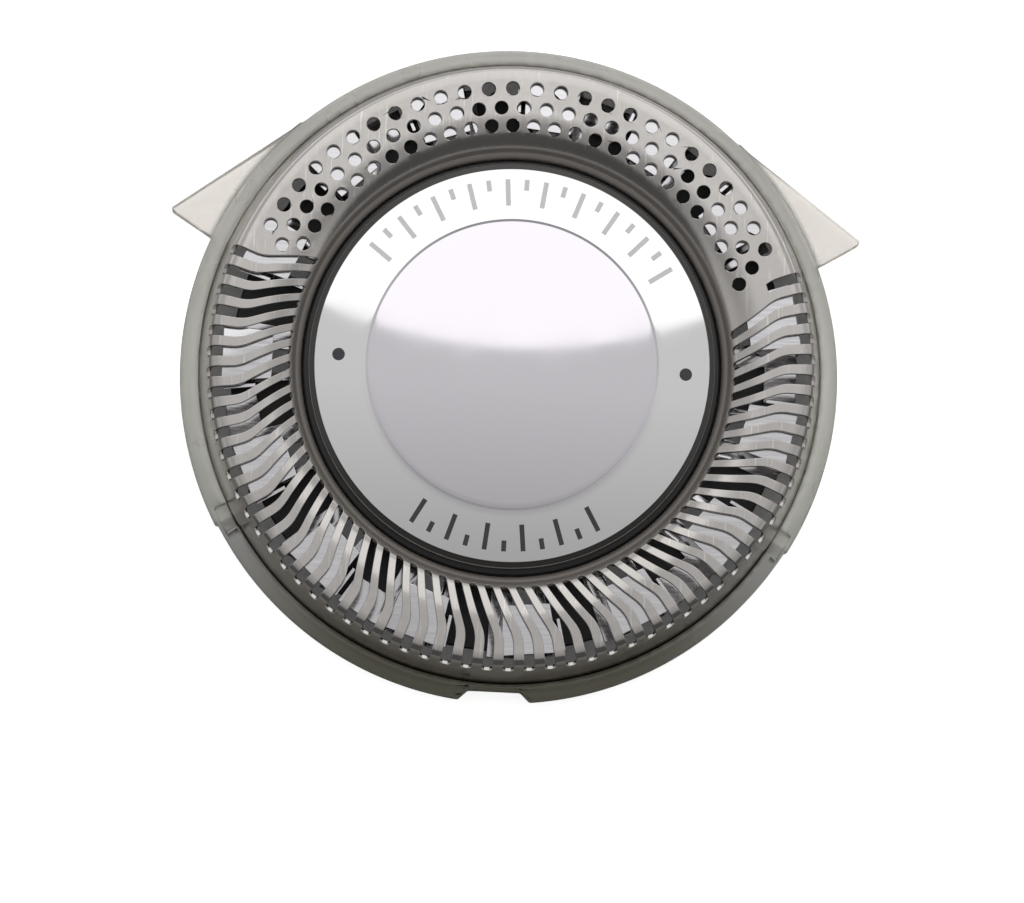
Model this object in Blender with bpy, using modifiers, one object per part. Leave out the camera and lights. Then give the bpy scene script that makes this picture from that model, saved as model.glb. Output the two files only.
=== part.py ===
"""Rotary shaver head: a slotted steel guard in a moulded frame, with the cutter that spins under it.

The origin is on the cutter's axis at the frame's base. +Z points to the skin and +Y to the two wings.
"""

import math

import bmesh
import bpy
from mathutils import Matrix, Vector

MM = 0.001

# Clearances between pieces
SEAT_GAP = 0.05 * MM
PRESS_GAP = 0.05 * MM
RUN_GAP = 0.08 * MM
BEARING_GAP = 0.08 * MM
SIDE_GAP = 0.2 * MM
FRAME_FIT = 0.05 * MM
CUP_FIT = 0.1 * MM
OVERLAP = 0.3 * MM
WELD = 1e-7

# Guard: one drawn sheet, a flat shaving track round a cup that holds the cap
GUARD_SHEET = 0.3 * MM
GUARD_SEAT = 1.0 * MM
GUARD_HEIGHT = 4.2 * MM
GUARD_CORNER = 0.4 * MM
GUARD_FLARE = 0.45 * MM
GUARD_STEPS = 48
TRACK_WIDTH = 1.7 * MM
SHOULDER_WIDTH = 1.28 * MM
SHOULDER_DROP = 0.65 * MM
LEDGE_WIDTH = 0.42 * MM
CUP_DEPTH = 0.65 * MM
CUP_HOLE = 3.0 * MM
FLANGE_WIDTH = 0.1 * MM

# Slots of the guard, spaced evenly round -Y: radial over the track, then all leaning the same way round
SLOT_COUNT = 56
SLOT_WIDTH = 0.42 * MM
SLOT_PITCH = 4.0
SLOT_LEAN = 5.5
SLOT_BEND_INSET = 1.3 * MM
SLOT_FOOT = 0.12 * MM
SLOT_DROP = 1.0 * MM
SHORT_SLOT_INSET = 1.45 * MM

# Staggered holes over the rest of the track, round +Y
HOLE_RADIUS = 0.29 * MM
HOLE_SIDES = 6
HOLE_PITCH = 5.0
HOLE_ROW_INSET = 0.75 * MM
HOLE_ROW_STEP = 0.775 * MM
HOLE_ROWS = ((27.5, 26), (25.0, 27), (22.5, 27))

# Frame: a moulded ring with a sloping top, which holds the guard and plugs into the shaver
FRAME_WALL = 0.8 * MM
FRAME_HEIGHT = 2.2 * MM
FRAME_LIP = 0.1 * MM
FRAME_RIM_HEIGHT = 0.6 * MM
FRAME_STEPS = 44
FRAME_SLOPE_STEPS = 4
LUG_ANGLES = (45, 135, 225, 315)
LUG_SPAN = 10
LUG_HEIGHT = 0.42 * MM
LUG_REACH = 0.15 * MM
TONGUE_SET_IN = 0.12 * MM
TONGUE_HALF_ANGLE = 59
TONGUE_STEPS = 14
WING_SPAN = 2.1 * MM
WING_ANGLE = 66.4
WING_ROOT_ANGLE = 67.7
WING_TIP_RADIUS = 0.12 * MM
WING_THICKNESS = 1.0 * MM
WING_LIFT = 0.1 * MM
NOTCH_WIDTH = 1.1 * MM
NOTCH_DEPTH = 1.3 * MM
KEYWAY_WIDTH = 2.2 * MM
KEYWAY_WALL = 0.22 * MM
KEYWAY_FLARE = 0.6 * MM

# Cap: a polished plate pressed over a carrier that snaps through the guard's cup
CARRIER_FLANGE_HEIGHT = 0.3 * MM
CARRIER_STEPS = 28
COLLAR_REACH = 0.18 * MM
COLLAR_HEIGHT = 0.2 * MM
PIN_RADIUS = 1.42 * MM
PIN_LENGTH = 0.95 * MM
CAP_RADIUS = 8.4 * MM
CAP_GAP = 0.3 * MM
CAP_SHEET = 0.25 * MM
CAP_RIM = 0.9 * MM
CAP_BEVEL = 0.25 * MM
CAP_DOME_RADIUS = 100 * MM
CAP_RING_INSET = 2.4 * MM
CAP_LINE_INSET = 0.3 * MM
CAP_GROOVE = 0.05 * MM
CAP_STEPS = 36

# Cutter hub: carries the blades on its deck, turned by a drive that enters the socket below
HUB_BASE = 0.3 * MM
HUB_BOSS_RADIUS = 4.2 * MM
HUB_NECK_RADIUS = 2.6 * MM
HUB_DECK_THICKNESS = 0.45 * MM
HUB_DECK_INSET = 0.35 * MM
HUB_STEPS = 30
BEARING_DEPTH = 1.0 * MM
SOCKET_DEPTH = 1.45 * MM
SOCKET_RADIUS = 2.1 * MM
SOCKET_LOBES = 3
SOCKET_LOBE_SPAN = 40
RIB_COUNT = 5
RIB_WIDTH = 0.7 * MM
RIB_HEIGHT = 0.6 * MM
RIB_END_GAP = 0.6 * MM
WINDOW_INSET = 0.7 * MM
WINDOW_WIDTH = 2.4 * MM
WINDOW_START = 2.5
WINDOW_SPAN = 11.0

# Blades: one stamped star, its arms bent up to run under the track
BLADE_COUNT = 15
FIRST_BLADE = 26.8
BLADE_SHEET = 0.3 * MM
ARM_LENGTH = 3.2 * MM
ARM_START = 1.0
ARM_END = 6.5
FOOT_START = -7.0
FOOT_WIDTH = 1.4 * MM
RAMP_START = 3.0
RAMP_END = 7.0
RAMP_LAG = 1.5
LAND_END = 15.0
BLADE_TIP_GAP = 0.3 * MM
BLADE_CHAMFER_DROP = 0.25 * MM
BLADE_ROOT_INSET = 0.03 * MM

# Lifter: a thin spring star, one tongue standing just ahead of each blade
LIFTER_SHEET = 0.15 * MM
LIFTER_ARM_LENGTH = 4.4 * MM
LIFTER_ARM_START = 12.5
LIFTER_ARM_END = 14.5
LIFTER_TIP_ANGLE = 16.2
LIFTER_TIP_DROP = 0.12 * MM

# Clamp: a ring pressed on the hub's neck
CLAMP_INSET = 1.0 * MM
CLAMP_THICKNESS = 0.25 * MM

# Sizes that follow from those above
BLADE_PITCH = 360 / BLADE_COUNT
GUARD_TOP = GUARD_SEAT + GUARD_HEIGHT
TRACK_UNDERSIDE = GUARD_TOP - GUARD_SHEET
LEDGE_TOP = GUARD_TOP - SHOULDER_DROP
CUP_FLOOR = LEDGE_TOP - CUP_DEPTH
CUP_RADIUS = CAP_RADIUS + CAP_GAP
LEDGE_OUTER = CUP_RADIUS + LEDGE_WIDTH
TRACK_INNER = LEDGE_OUTER + SHOULDER_WIDTH
TRACK_OUTER = TRACK_INNER + TRACK_WIDTH
GUARD_RIM_RADIUS = TRACK_OUTER + GUARD_CORNER
GUARD_RADIUS = GUARD_RIM_RADIUS + GUARD_FLARE
SLOT_BEND_RADIUS = GUARD_RIM_RADIUS - SLOT_BEND_INSET
SHORT_SLOT_RADIUS = GUARD_RIM_RADIUS - SHORT_SLOT_INSET
HOLE_OUTER_ROW = GUARD_RIM_RADIUS - HOLE_ROW_INSET
FLANGE_RADIUS = GUARD_RADIUS + FLANGE_WIDTH
FRAME_BORE = GUARD_RADIUS + FRAME_FIT
FRAME_RADIUS = FRAME_BORE + FRAME_WALL
FRAME_RELIEF = FLANGE_RADIUS + SEAT_GAP
WING_REACH = FRAME_RADIUS + WING_SPAN
CAP_RING_RADIUS = CAP_RADIUS - CAP_RING_INSET
CARRIER_SEAT = CUP_FLOOR + SEAT_GAP
CARRIER_NECK = CUP_HOLE - PRESS_GAP
CARRIER_NECK_END = CUP_FLOOR - GUARD_SHEET - SEAT_GAP
CARRIER_FOOT = CARRIER_NECK_END - COLLAR_HEIGHT
CAP_SEAT = CARRIER_SEAT + CARRIER_FLANGE_HEIGHT + SEAT_GAP
HUB_TOP = CARRIER_FOOT - BEARING_GAP
CLAMP_SEAT = HUB_TOP - CLAMP_THICKNESS
LIFTER_SEAT = CLAMP_SEAT - SEAT_GAP - LIFTER_SHEET
BLADE_SEAT = LIFTER_SEAT - SEAT_GAP - BLADE_SHEET
HUB_DECK = BLADE_SEAT - SEAT_GAP
BLADE_TOP = TRACK_UNDERSIDE - RUN_GAP
BLADE_OUTER = GUARD_RIM_RADIUS - GUARD_SHEET - SIDE_GAP
BLADE_TIP_INNER = LEDGE_OUTER + GUARD_SHEET + BLADE_TIP_GAP
BASE_RADIUS = BLADE_OUTER - ARM_LENGTH
FOOT_INNER = BLADE_OUTER - FOOT_WIDTH
LIFTER_RADIUS = BLADE_OUTER - LIFTER_ARM_LENGTH
CLAMP_RADIUS = LIFTER_RADIUS - CLAMP_INSET
HUB_DECK_RADIUS = BLADE_OUTER - HUB_DECK_INSET
WINDOW_OUTER = BLADE_OUTER - WINDOW_INSET
WINDOW_INNER = WINDOW_OUTER - WINDOW_WIDTH
NECK_BORE = HUB_NECK_RADIUS + PRESS_GAP


def clear_scene():
    for obj in list(bpy.data.objects):
        bpy.data.objects.remove(obj)


def new_collection(name):
    collection = bpy.data.collections.new(name)
    bpy.context.scene.collection.children.link(collection)
    return collection


def new_material(name, colour, roughness, metallic=0.0, transmission=0.0):
    material = bpy.data.materials.new(name)
    material.use_nodes = True
    shader = material.node_tree.nodes["Principled BSDF"]
    shader.inputs["Base Color"].default_value = (*colour, 1.0)
    shader.inputs["Roughness"].default_value = roughness
    shader.inputs["Metallic"].default_value = metallic
    shader.inputs["Transmission Weight"].default_value = transmission
    return material


def smooth_by_angle(limit):
    """A node group that shades faces smooth and keeps the edges over this angle sharp."""
    group = bpy.data.node_groups.new("smooth by angle", "GeometryNodeTree")
    group.interface.new_socket("Geometry", in_out="INPUT", socket_type="NodeSocketGeometry")
    group.interface.new_socket("Geometry", in_out="OUTPUT", socket_type="NodeSocketGeometry")
    source = group.nodes.new("NodeGroupInput")
    faces = group.nodes.new("GeometryNodeSetShadeSmooth")
    edges = group.nodes.new("GeometryNodeSetShadeSmooth")
    edges.domain = "EDGE"
    angle = group.nodes.new("GeometryNodeInputMeshEdgeAngle")
    compare = group.nodes.new("FunctionNodeCompare")
    compare.operation = "LESS_EQUAL"
    compare.inputs["B"].default_value = limit
    result = group.nodes.new("NodeGroupOutput")
    group.links.new(source.outputs["Geometry"], faces.inputs["Geometry"])
    group.links.new(faces.outputs["Geometry"], edges.inputs["Geometry"])
    group.links.new(angle.outputs["Unsigned Angle"], compare.inputs["A"])
    group.links.new(compare.outputs["Result"], edges.inputs["Shade Smooth"])
    group.links.new(edges.outputs["Geometry"], result.inputs["Geometry"])
    return group


def polar(radius, degrees):
    angle = math.radians(degrees)
    return radius * math.cos(angle), radius * math.sin(angle)


def arc(radius, start, end, steps):
    """Points of an arc round the origin, both ends included."""
    return [polar(radius, start + (end - start) * i / steps) for i in range(steps + 1)]


def ellipse_arc(centre, radii, start, end, steps):
    """Points of an elliptical arc in a profile's (radius, height) plane, both ends included."""
    points = []
    for i in range(steps + 1):
        angle = math.radians(start + (end - start) * i / steps)
        points.append((centre[0] + radii[0] * math.cos(angle), centre[1] + radii[1] * math.sin(angle)))
    return points


def rounded_corner(before, corner, after, radius, steps):
    """The corner's two edges joined by an arc of this radius."""
    corner = Vector(corner)
    back = (Vector(before) - corner).normalized()
    ahead = (Vector(after) - corner).normalized()
    half = back.angle(ahead) / 2
    centre = corner + (back + ahead).normalized() * radius / math.sin(half)
    first = corner + back * radius / math.tan(half) - centre
    last = corner + ahead * radius / math.tan(half) - centre
    points = []
    for i in range(steps + 1):
        spoke = first.lerp(last, i / steps).normalized() * radius
        points.append(tuple(centre + spoke))
    return points


def ribbon(line, width):
    """The outline of a strip of this width along a line of points."""
    left, right = [], []
    for i, point in enumerate(line):
        run = line[min(i + 1, len(line) - 1)] - line[max(i - 1, 0)]
        side = Vector((-run.y, run.x)).normalized() * width / 2
        left.append(tuple(point + side))
        right.append(tuple(point - side))
    return left + right[::-1]


def add_object(name, mesh, collection, height=0.0):
    obj = bpy.data.objects.new(name, mesh)
    obj.location.z = height
    collection.objects.link(obj)
    return obj


def turned(name, profile, steps, collection, height=0.0, closed=False):
    """A solid of revolution. The profile's (radius, height) points run down its outer side."""
    mesh = bpy.data.meshes.new(name)
    edges = [(i, i + 1) for i in range(len(profile) - 1)]
    if closed:
        edges.append((len(profile) - 1, 0))
    mesh.from_pydata([(radius, 0, z) for radius, z in profile], edges, [])
    obj = add_object(name, mesh, collection, height)
    screw = obj.modifiers.new("Turn", "SCREW")
    screw.steps = steps
    screw.render_steps = steps
    screw.use_merge_vertices = True
    screw.merge_threshold = 1e-6
    return obj


def extruded(name, outlines, low, high, collection, height=0.0):
    """Flat outlines made into one mesh of plates between two heights."""
    curve = bpy.data.curves.new(name, "CURVE")
    curve.dimensions = "2D"
    curve.fill_mode = "BOTH"
    curve.extrude = (high - low) / 2
    for outline in outlines:
        spline = curve.splines.new("POLY")
        spline.points.add(len(outline) - 1)
        for point, (x, y) in zip(spline.points, outline):
            point.co = (x, y, 0, 1)
        spline.use_cyclic_u = True
    flat = bpy.data.objects.new(name, curve)
    bpy.context.scene.collection.objects.link(flat)
    graph = bpy.context.evaluated_depsgraph_get()
    mesh = bpy.data.meshes.new_from_object(flat.evaluated_get(graph))
    bpy.data.objects.remove(flat)
    bm = bmesh.new()
    bm.from_mesh(mesh)
    bmesh.ops.translate(bm, verts=bm.verts, vec=(0, 0, (low + high) / 2))
    bmesh.ops.remove_doubles(bm, verts=bm.verts, dist=WELD)
    bmesh.ops.recalc_face_normals(bm, faces=bm.faces)
    bm.to_mesh(mesh)
    bm.free()
    return add_object(name, mesh, collection, height)


def lofted(name, bodies, collection, height=0.0):
    """One mesh of closed bodies, each a list of sections with the same number of points."""
    bm = bmesh.new()
    for sections in bodies:
        rings = [[bm.verts.new(point) for point in section] for section in sections]
        for ring, following in zip(rings, rings[1:]):
            for i in range(len(ring)):
                j = (i + 1) % len(ring)
                bm.faces.new((ring[i], ring[j], following[j], following[i]))
        bm.faces.new(rings[0])
        bm.faces.new(rings[-1])
    bmesh.ops.recalc_face_normals(bm, faces=bm.faces)
    mesh = bpy.data.meshes.new(name)
    bm.to_mesh(mesh)
    bm.free()
    return add_object(name, mesh, collection, height)


def sector(section, start, end, steps):
    """The sections of a turned piece's part between two angles, for lofted."""
    turns = [start + (end - start) * i / steps for i in range(steps + 1)]
    return [[(*polar(radius, turn), z) for radius, z in section] for turn in turns]


def combine(obj, tool, operation):
    tool.hide_render = True
    tool.display_type = "WIRE"
    boolean = obj.modifiers.new(tool.name, "BOOLEAN")
    boolean.operation = operation
    boolean.object = tool


def finish(obj, material, smoothing, parent):
    obj.data.materials.append(material)
    shading = obj.modifiers.new("Shading", "NODES")
    shading.node_group = smoothing
    obj.parent = parent


def guard_profile():
    """The sheet's outer side, from the cup's hole out over the track and down to the flange."""
    floor = CUP_FLOOR - GUARD_SEAT
    ledge = LEDGE_TOP - GUARD_SEAT
    points = [(CUP_HOLE, floor), (CUP_RADIUS, floor), (CUP_RADIUS, ledge)]
    points += ellipse_arc((TRACK_INNER, ledge), (SHOULDER_WIDTH, SHOULDER_DROP), 180, 90, 3)
    corner = (TRACK_OUTER, GUARD_HEIGHT - GUARD_CORNER)
    points += ellipse_arc(corner, (GUARD_CORNER, GUARD_CORNER), 90, 0, 2)
    points += [(GUARD_RADIUS, GUARD_SHEET), (FLANGE_RADIUS, GUARD_SHEET)]
    return points


def slot_line(angle, inner):
    """A slot's centre line: radial from the rim to the bend, then leaning over on its way inwards."""
    lean = SLOT_LEAN * (SLOT_BEND_RADIUS - inner) / (SLOT_BEND_RADIUS - LEDGE_OUTER)
    bend = (GUARD_RADIUS + inner) / 2 if inner > SLOT_BEND_RADIUS else SLOT_BEND_RADIUS
    line = [(GUARD_RADIUS + OVERLAP, angle), (bend, angle), (inner, angle - max(0.0, lean))]
    return [Vector(polar(radius, turn)) for radius, turn in line]


def slot_outlines():
    """All slots, of which the last, next to the holes, is short."""
    outlines = []
    for i in range(SLOT_COUNT):
        angle = (i - (SLOT_COUNT - 1) / 2) * SLOT_PITCH - 90
        inner = SHORT_SLOT_RADIUS if i == SLOT_COUNT - 1 else LEDGE_OUTER + SLOT_FOOT
        outlines.append(ribbon(slot_line(angle, inner), SLOT_WIDTH))
    return outlines


def hole_cutter(collection):
    bm = bmesh.new()
    depth = GUARD_SHEET + 2 * OVERLAP
    for row, (first, count) in enumerate(HOLE_ROWS):
        radius = HOLE_OUTER_ROW - row * HOLE_ROW_STEP
        for i in range(count):
            made = bmesh.ops.create_cone(
                bm,
                cap_ends=True,
                segments=HOLE_SIDES,
                radius1=HOLE_RADIUS,
                radius2=HOLE_RADIUS,
                depth=depth,
            )
            x, y = polar(radius, first + i * HOLE_PITCH)
            bmesh.ops.translate(bm, verts=made["verts"], vec=(x, y, 0))
    mesh = bpy.data.meshes.new("hole_cutter")
    bm.to_mesh(mesh)
    bm.free()
    return add_object("hole_cutter", mesh, collection, GUARD_TOP - GUARD_SHEET / 2)


def shaving_guard(parts, tools):
    """The drawn sheet with its slots, cut through track, rim and shoulder, and its holes."""
    guard = turned("shaving_guard", guard_profile(), GUARD_STEPS, parts, GUARD_SEAT)
    sheet = guard.modifiers.new("Sheet", "SOLIDIFY")
    sheet.thickness = GUARD_SHEET
    sheet.offset = -1
    sheet.use_even_offset = True
    slots = extruded("slot_cutter", slot_outlines(), GUARD_TOP - SLOT_DROP, GUARD_TOP + OVERLAP, tools)
    combine(guard, slots, "DIFFERENCE")
    combine(guard, hole_cutter(tools), "DIFFERENCE")
    return guard


def frame_profile():
    """A quarter-ellipse slopes from the lip round the guard down to the frame's outer rim."""
    relief_top = GUARD_SEAT + GUARD_SHEET + SEAT_GAP
    lip = FRAME_BORE + FRAME_LIP
    reach = (FRAME_RADIUS - lip, FRAME_HEIGHT - FRAME_RIM_HEIGHT)
    slope = ellipse_arc((lip, FRAME_RIM_HEIGHT), reach, 90, 0, FRAME_SLOPE_STEPS)
    base = [(FRAME_RADIUS, 0), (FRAME_RELIEF, 0), (FRAME_RELIEF, relief_top), (FRAME_BORE, relief_top)]
    return [*slope, *base, (FRAME_BORE, FRAME_HEIGHT)]


def wing_outline(side):
    """From the straight edge's tangent point out to the tip, and back inside the ring's wall."""
    tangent = WING_ANGLE - math.degrees(math.acos(FRAME_RADIUS / WING_REACH))
    within = FRAME_RADIUS - FRAME_WALL / 4
    start = polar(FRAME_RADIUS, 90 - side * tangent)
    tip = polar(WING_REACH, 90 - side * WING_ANGLE)
    root = polar(FRAME_RADIUS, 90 - side * WING_ROOT_ANGLE)
    inside = arc(within, 90 - side * WING_ROOT_ANGLE, 90 - side * tangent, 5)
    return [start, *rounded_corner(start, tip, root, WING_TIP_RADIUS, 4), root, *inside]


def lug_section():
    """A snap lug on the frame's bore, sloped below so that the guard's flange clicks past it."""
    top = GUARD_SEAT - SEAT_GAP
    within = FRAME_RELIEF + OVERLAP / 2
    tip = FRAME_BORE - LUG_REACH
    return [(within, top - LUG_HEIGHT), (within, top), (tip, top), (tip, top - LUG_HEIGHT / 2)]


def tongue_section():
    """What comes off the rim between the notches, where the frame's near side is set in a little."""
    inner = FRAME_RADIUS - TONGUE_SET_IN
    outer = FRAME_RADIUS + OVERLAP
    return [(inner, -OVERLAP), (outer, -OVERLAP), (outer, FRAME_HEIGHT), (inner, FRAME_HEIGHT)]


def notch_cutter(tools):
    """Two boxes across the ring's top, one at either end of the near side."""
    bm = bmesh.new()
    reach = FRAME_WALL + 2 * OVERLAP
    for side in (-1, 1):
        box = bmesh.ops.create_cube(bm, size=1)["verts"]
        bmesh.ops.scale(bm, verts=box, vec=(reach, NOTCH_WIDTH, 2 * NOTCH_DEPTH))
        bmesh.ops.translate(bm, verts=box, vec=((FRAME_BORE + FRAME_RADIUS) / 2, 0, 0))
        turn = Matrix.Rotation(math.radians(side * TONGUE_HALF_ANGLE - 90), 4, "Z")
        bmesh.ops.transform(bm, verts=box, matrix=turn)
    mesh = bpy.data.meshes.new("notch_cutter")
    bm.to_mesh(mesh)
    bm.free()
    return add_object("notch_cutter", mesh, tools, FRAME_HEIGHT)


def keyway_outline():
    wall = FRAME_BORE + KEYWAY_WALL
    half = KEYWAY_WIDTH / 2
    flare = half + KEYWAY_FLARE
    depth = FRAME_RADIUS + OVERLAP - wall
    return [(-half, -wall), (half, -wall), (flare, -wall - depth), (-flare, -wall - depth)]


def retaining_frame(parts, tools):
    frame = turned("retaining_frame", frame_profile(), FRAME_STEPS, parts, closed=True)
    outlines = [wing_outline(side) for side in (-1, 1)]
    combine(frame, extruded("wings", outlines, WING_LIFT, WING_LIFT + WING_THICKNESS, tools), "UNION")
    lugs = [sector(lug_section(), at - LUG_SPAN / 2, at + LUG_SPAN / 2, 2) for at in LUG_ANGLES]
    combine(frame, lofted("snap_lugs", lugs, tools), "UNION")
    start = -90 - TONGUE_HALF_ANGLE
    trim = sector(tongue_section(), start, start + 2 * TONGUE_HALF_ANGLE, TONGUE_STEPS)
    combine(frame, lofted("near_side_trim", [trim], tools), "DIFFERENCE")
    combine(frame, notch_cutter(tools), "DIFFERENCE")
    keyway = extruded("keyway_cutter", [keyway_outline()], -OVERLAP, FRAME_HEIGHT + OVERLAP, tools)
    combine(frame, keyway, "DIFFERENCE")
    return frame


def carrier_profile():
    """The carrier's side from its top down over flange, neck, snap collar and bearing pin."""
    flange_radius = CUP_RADIUS - CUP_FIT
    neck_end = CARRIER_NECK_END - CARRIER_SEAT
    foot = CARRIER_FOOT - CARRIER_SEAT
    collar = CARRIER_NECK + COLLAR_REACH
    top = CAP_SEAT + CAP_RIM - CAP_SHEET - SEAT_GAP - CARRIER_SEAT
    body = CAP_RADIUS - CAP_SHEET - PRESS_GAP
    return [
        (0, top),
        (body, top),
        (body, CARRIER_FLANGE_HEIGHT),
        (flange_radius, CARRIER_FLANGE_HEIGHT),
        (flange_radius, 0),
        (CARRIER_NECK, 0),
        (CARRIER_NECK, neck_end),
        (collar, neck_end),
        (CARRIER_NECK, foot),
        (PIN_RADIUS, foot),
        (PIN_RADIUS, foot - PIN_LENGTH + BEARING_GAP),
        (PIN_RADIUS - BEARING_GAP, foot - PIN_LENGTH),
        (0, foot - PIN_LENGTH),
    ]


def cap_carrier(parts):
    return turned("cap_carrier", carrier_profile(), CARRIER_STEPS, parts, CARRIER_SEAT)


def dome(radius, rise):
    """A point of the cap's slightly domed face, which rises this far above its rim."""
    return radius, rise - radius * radius / (2 * CAP_DOME_RADIUS)


def groove(radius, rise):
    """Three points of a fine groove turned in the cap's face."""
    above, bottom, below = (dome(radius + step * CAP_GROOVE, rise) for step in (-1, 0, 1))
    return [above, (bottom[0], bottom[1] - CAP_GROOVE), below]


def cap_profile():
    """The plate from its centre out over both grooves to the rim, and back under the sheet."""
    line_radius = CAP_RADIUS - CAP_LINE_INSET
    sag = line_radius * line_radius / (2 * CAP_DOME_RADIUS)
    rise = CAP_RIM + sag
    inner = CAP_RADIUS - CAP_SHEET
    face = [dome(CAP_RING_RADIUS * i / 3, rise) for i in range(3)]
    face += groove(CAP_RING_RADIUS, rise) + groove(line_radius, rise)
    side = [(CAP_RADIUS, CAP_RIM - CAP_BEVEL), (CAP_RADIUS, 0), (inner, 0)]
    under = [(inner, CAP_RIM - CAP_SHEET), (0, rise - CAP_SHEET)]
    return face + side + under


def cap_plate(parts):
    return turned("cap_plate", cap_profile(), CAP_STEPS, parts, CAP_SEAT)


def hub_profile():
    """From the bearing's floor up over the neck, then down the deck and the drive boss."""
    top = HUB_TOP - HUB_BASE
    deck = HUB_DECK - HUB_BASE
    bearing = PIN_RADIUS + BEARING_GAP
    return [
        (0, top - BEARING_DEPTH),
        (bearing, top - BEARING_DEPTH),
        (bearing, top),
        (HUB_NECK_RADIUS, top),
        (HUB_NECK_RADIUS, deck),
        (HUB_DECK_RADIUS, deck),
        (HUB_DECK_RADIUS, deck - HUB_DECK_THICKNESS),
        (HUB_BOSS_RADIUS, deck - HUB_DECK_THICKNESS),
        (HUB_BOSS_RADIUS, 0),
        (0, 0),
    ]


def socket_outline():
    """A lobed socket, so that the drive's cornered tip can't slip."""
    points = []
    for lobe in range(SOCKET_LOBES):
        start = 90 + 360 * lobe / SOCKET_LOBES - SOCKET_LOBE_SPAN / 2
        points += arc(SOCKET_RADIUS, start, start + SOCKET_LOBE_SPAN, 2)
    return points


def window_outlines():
    """A hair window through the deck under each blade."""
    outlines = []
    for i in range(BLADE_COUNT):
        start = FIRST_BLADE + i * BLADE_PITCH + WINDOW_START
        outer = arc(WINDOW_OUTER, start, start + WINDOW_SPAN, 2)
        outlines.append(arc(WINDOW_INNER, start + WINDOW_SPAN, start, 1) + outer)
    return outlines


def rib_blocks(tools):
    """Stiffening ribs under the deck, from inside the boss out to just short of the windows."""
    bm = bmesh.new()
    start = HUB_BOSS_RADIUS - OVERLAP
    length = WINDOW_INNER - RIB_END_GAP - start
    height = RIB_HEIGHT + OVERLAP
    for i in range(RIB_COUNT):
        block = bmesh.ops.create_cube(bm, size=1)["verts"]
        bmesh.ops.scale(bm, verts=block, vec=(length, RIB_WIDTH, height))
        bmesh.ops.translate(bm, verts=block, vec=(start + length / 2, 0, OVERLAP - height / 2))
        turn = Matrix.Rotation(math.radians(90 + 360 * i / RIB_COUNT), 4, "Z")
        bmesh.ops.transform(bm, verts=block, matrix=turn)
    mesh = bpy.data.meshes.new("hub_ribs")
    bm.to_mesh(mesh)
    bm.free()
    return add_object("hub_ribs", mesh, tools, HUB_DECK - HUB_DECK_THICKNESS)


def cutter_hub(parts, tools):
    hub = turned("cutter_hub", hub_profile(), HUB_STEPS, parts, HUB_BASE)
    combine(hub, rib_blocks(tools), "UNION")
    socket_top = HUB_BASE + SOCKET_DEPTH
    socket = extruded("socket_cutter", [socket_outline()], HUB_BASE - OVERLAP, socket_top, tools)
    combine(hub, socket, "DIFFERENCE")
    under_deck = HUB_DECK - HUB_DECK_THICKNESS - OVERLAP
    windows = extruded("window_cutter", window_outlines(), under_deck, HUB_DECK + OVERLAP, tools)
    combine(hub, windows, "DIFFERENCE")
    return hub


def bore_outline():
    return arc(NECK_BORE, 0, 360, HUB_STEPS)[:-1]


def has_long_foot(index):
    """Two blades of every five keep a wide foot, which shows as bright metal through the slots."""
    return index % 5 in (2, 4)


def blade_base_outline():
    """The flat star: a disc with an arm, and a foot at its end, for each blade."""
    foot_outer = BLADE_OUTER - SEAT_GAP
    points = []
    for i in range(BLADE_COUNT):
        root = FIRST_BLADE + i * BLADE_PITCH
        points.append(polar(BASE_RADIUS, root + ARM_START))
        points.append(polar(FOOT_INNER, root + ARM_START))
        if has_long_foot(i):
            points.append(polar(FOOT_INNER, root + FOOT_START))
            points.append(polar(foot_outer, root + FOOT_START))
        points += arc(foot_outer, root + ARM_START, root + ARM_END, 1)
        points += arc(BASE_RADIUS, root + ARM_END, root + BLADE_PITCH + ARM_START, 3)[:-1]
    return points


def blade_section(inner, bottom, top):
    """A section between two (angle, height) corners, chamfered towards the shoulder it runs under."""
    edge = max(TRACK_INNER + PRESS_GAP, inner + PRESS_GAP)
    drop = BLADE_CHAMFER_DROP * (edge - inner) / (TRACK_INNER + PRESS_GAP - BLADE_TIP_INNER)
    lower = [(*polar(radius, bottom[0]), bottom[1]) for radius in (inner, BLADE_OUTER)]
    upper = [(*polar(radius, top[0]), top[1]) for radius in (BLADE_OUTER, edge)]
    return [*lower, *upper, (*polar(inner, top[0]), top[1] - drop)]


def blade_sections(root):
    """A blade from inside its arm up a steep ramp to the land that rubs on the track."""
    land_top = BLADE_TOP - BLADE_SEAT
    land_bottom = land_top - BLADE_SHEET
    root_top = BLADE_SHEET - BLADE_ROOT_INSET
    slope = (RAMP_END - RAMP_START) / (land_top - root_top)
    under_root = RAMP_START + RAMP_LAG - slope * (root_top - BLADE_ROOT_INSET)
    under_land = RAMP_END + RAMP_LAG - slope * BLADE_SHEET
    start = ((root + under_root, BLADE_ROOT_INSET), (root + RAMP_START, root_top))
    knee = ((root + under_land, land_bottom), (root + RAMP_END, land_top))
    end = ((root + LAND_END, land_bottom), (root + LAND_END, land_top))
    return [
        blade_section(FOOT_INNER + SEAT_GAP, *start),
        blade_section(BLADE_TIP_INNER, *knee),
        blade_section(BLADE_TIP_INNER, *end),
    ]


def cutter_blades(parts, tools):
    blades = extruded(
        "cutter_blades", [blade_base_outline(), bore_outline()], 0, BLADE_SHEET, parts, BLADE_SEAT
    )
    raised = [blade_sections(FIRST_BLADE + i * BLADE_PITCH) for i in range(BLADE_COUNT)]
    combine(blades, lofted("raised_blades", raised, tools, BLADE_SEAT), "UNION")
    return blades


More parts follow.
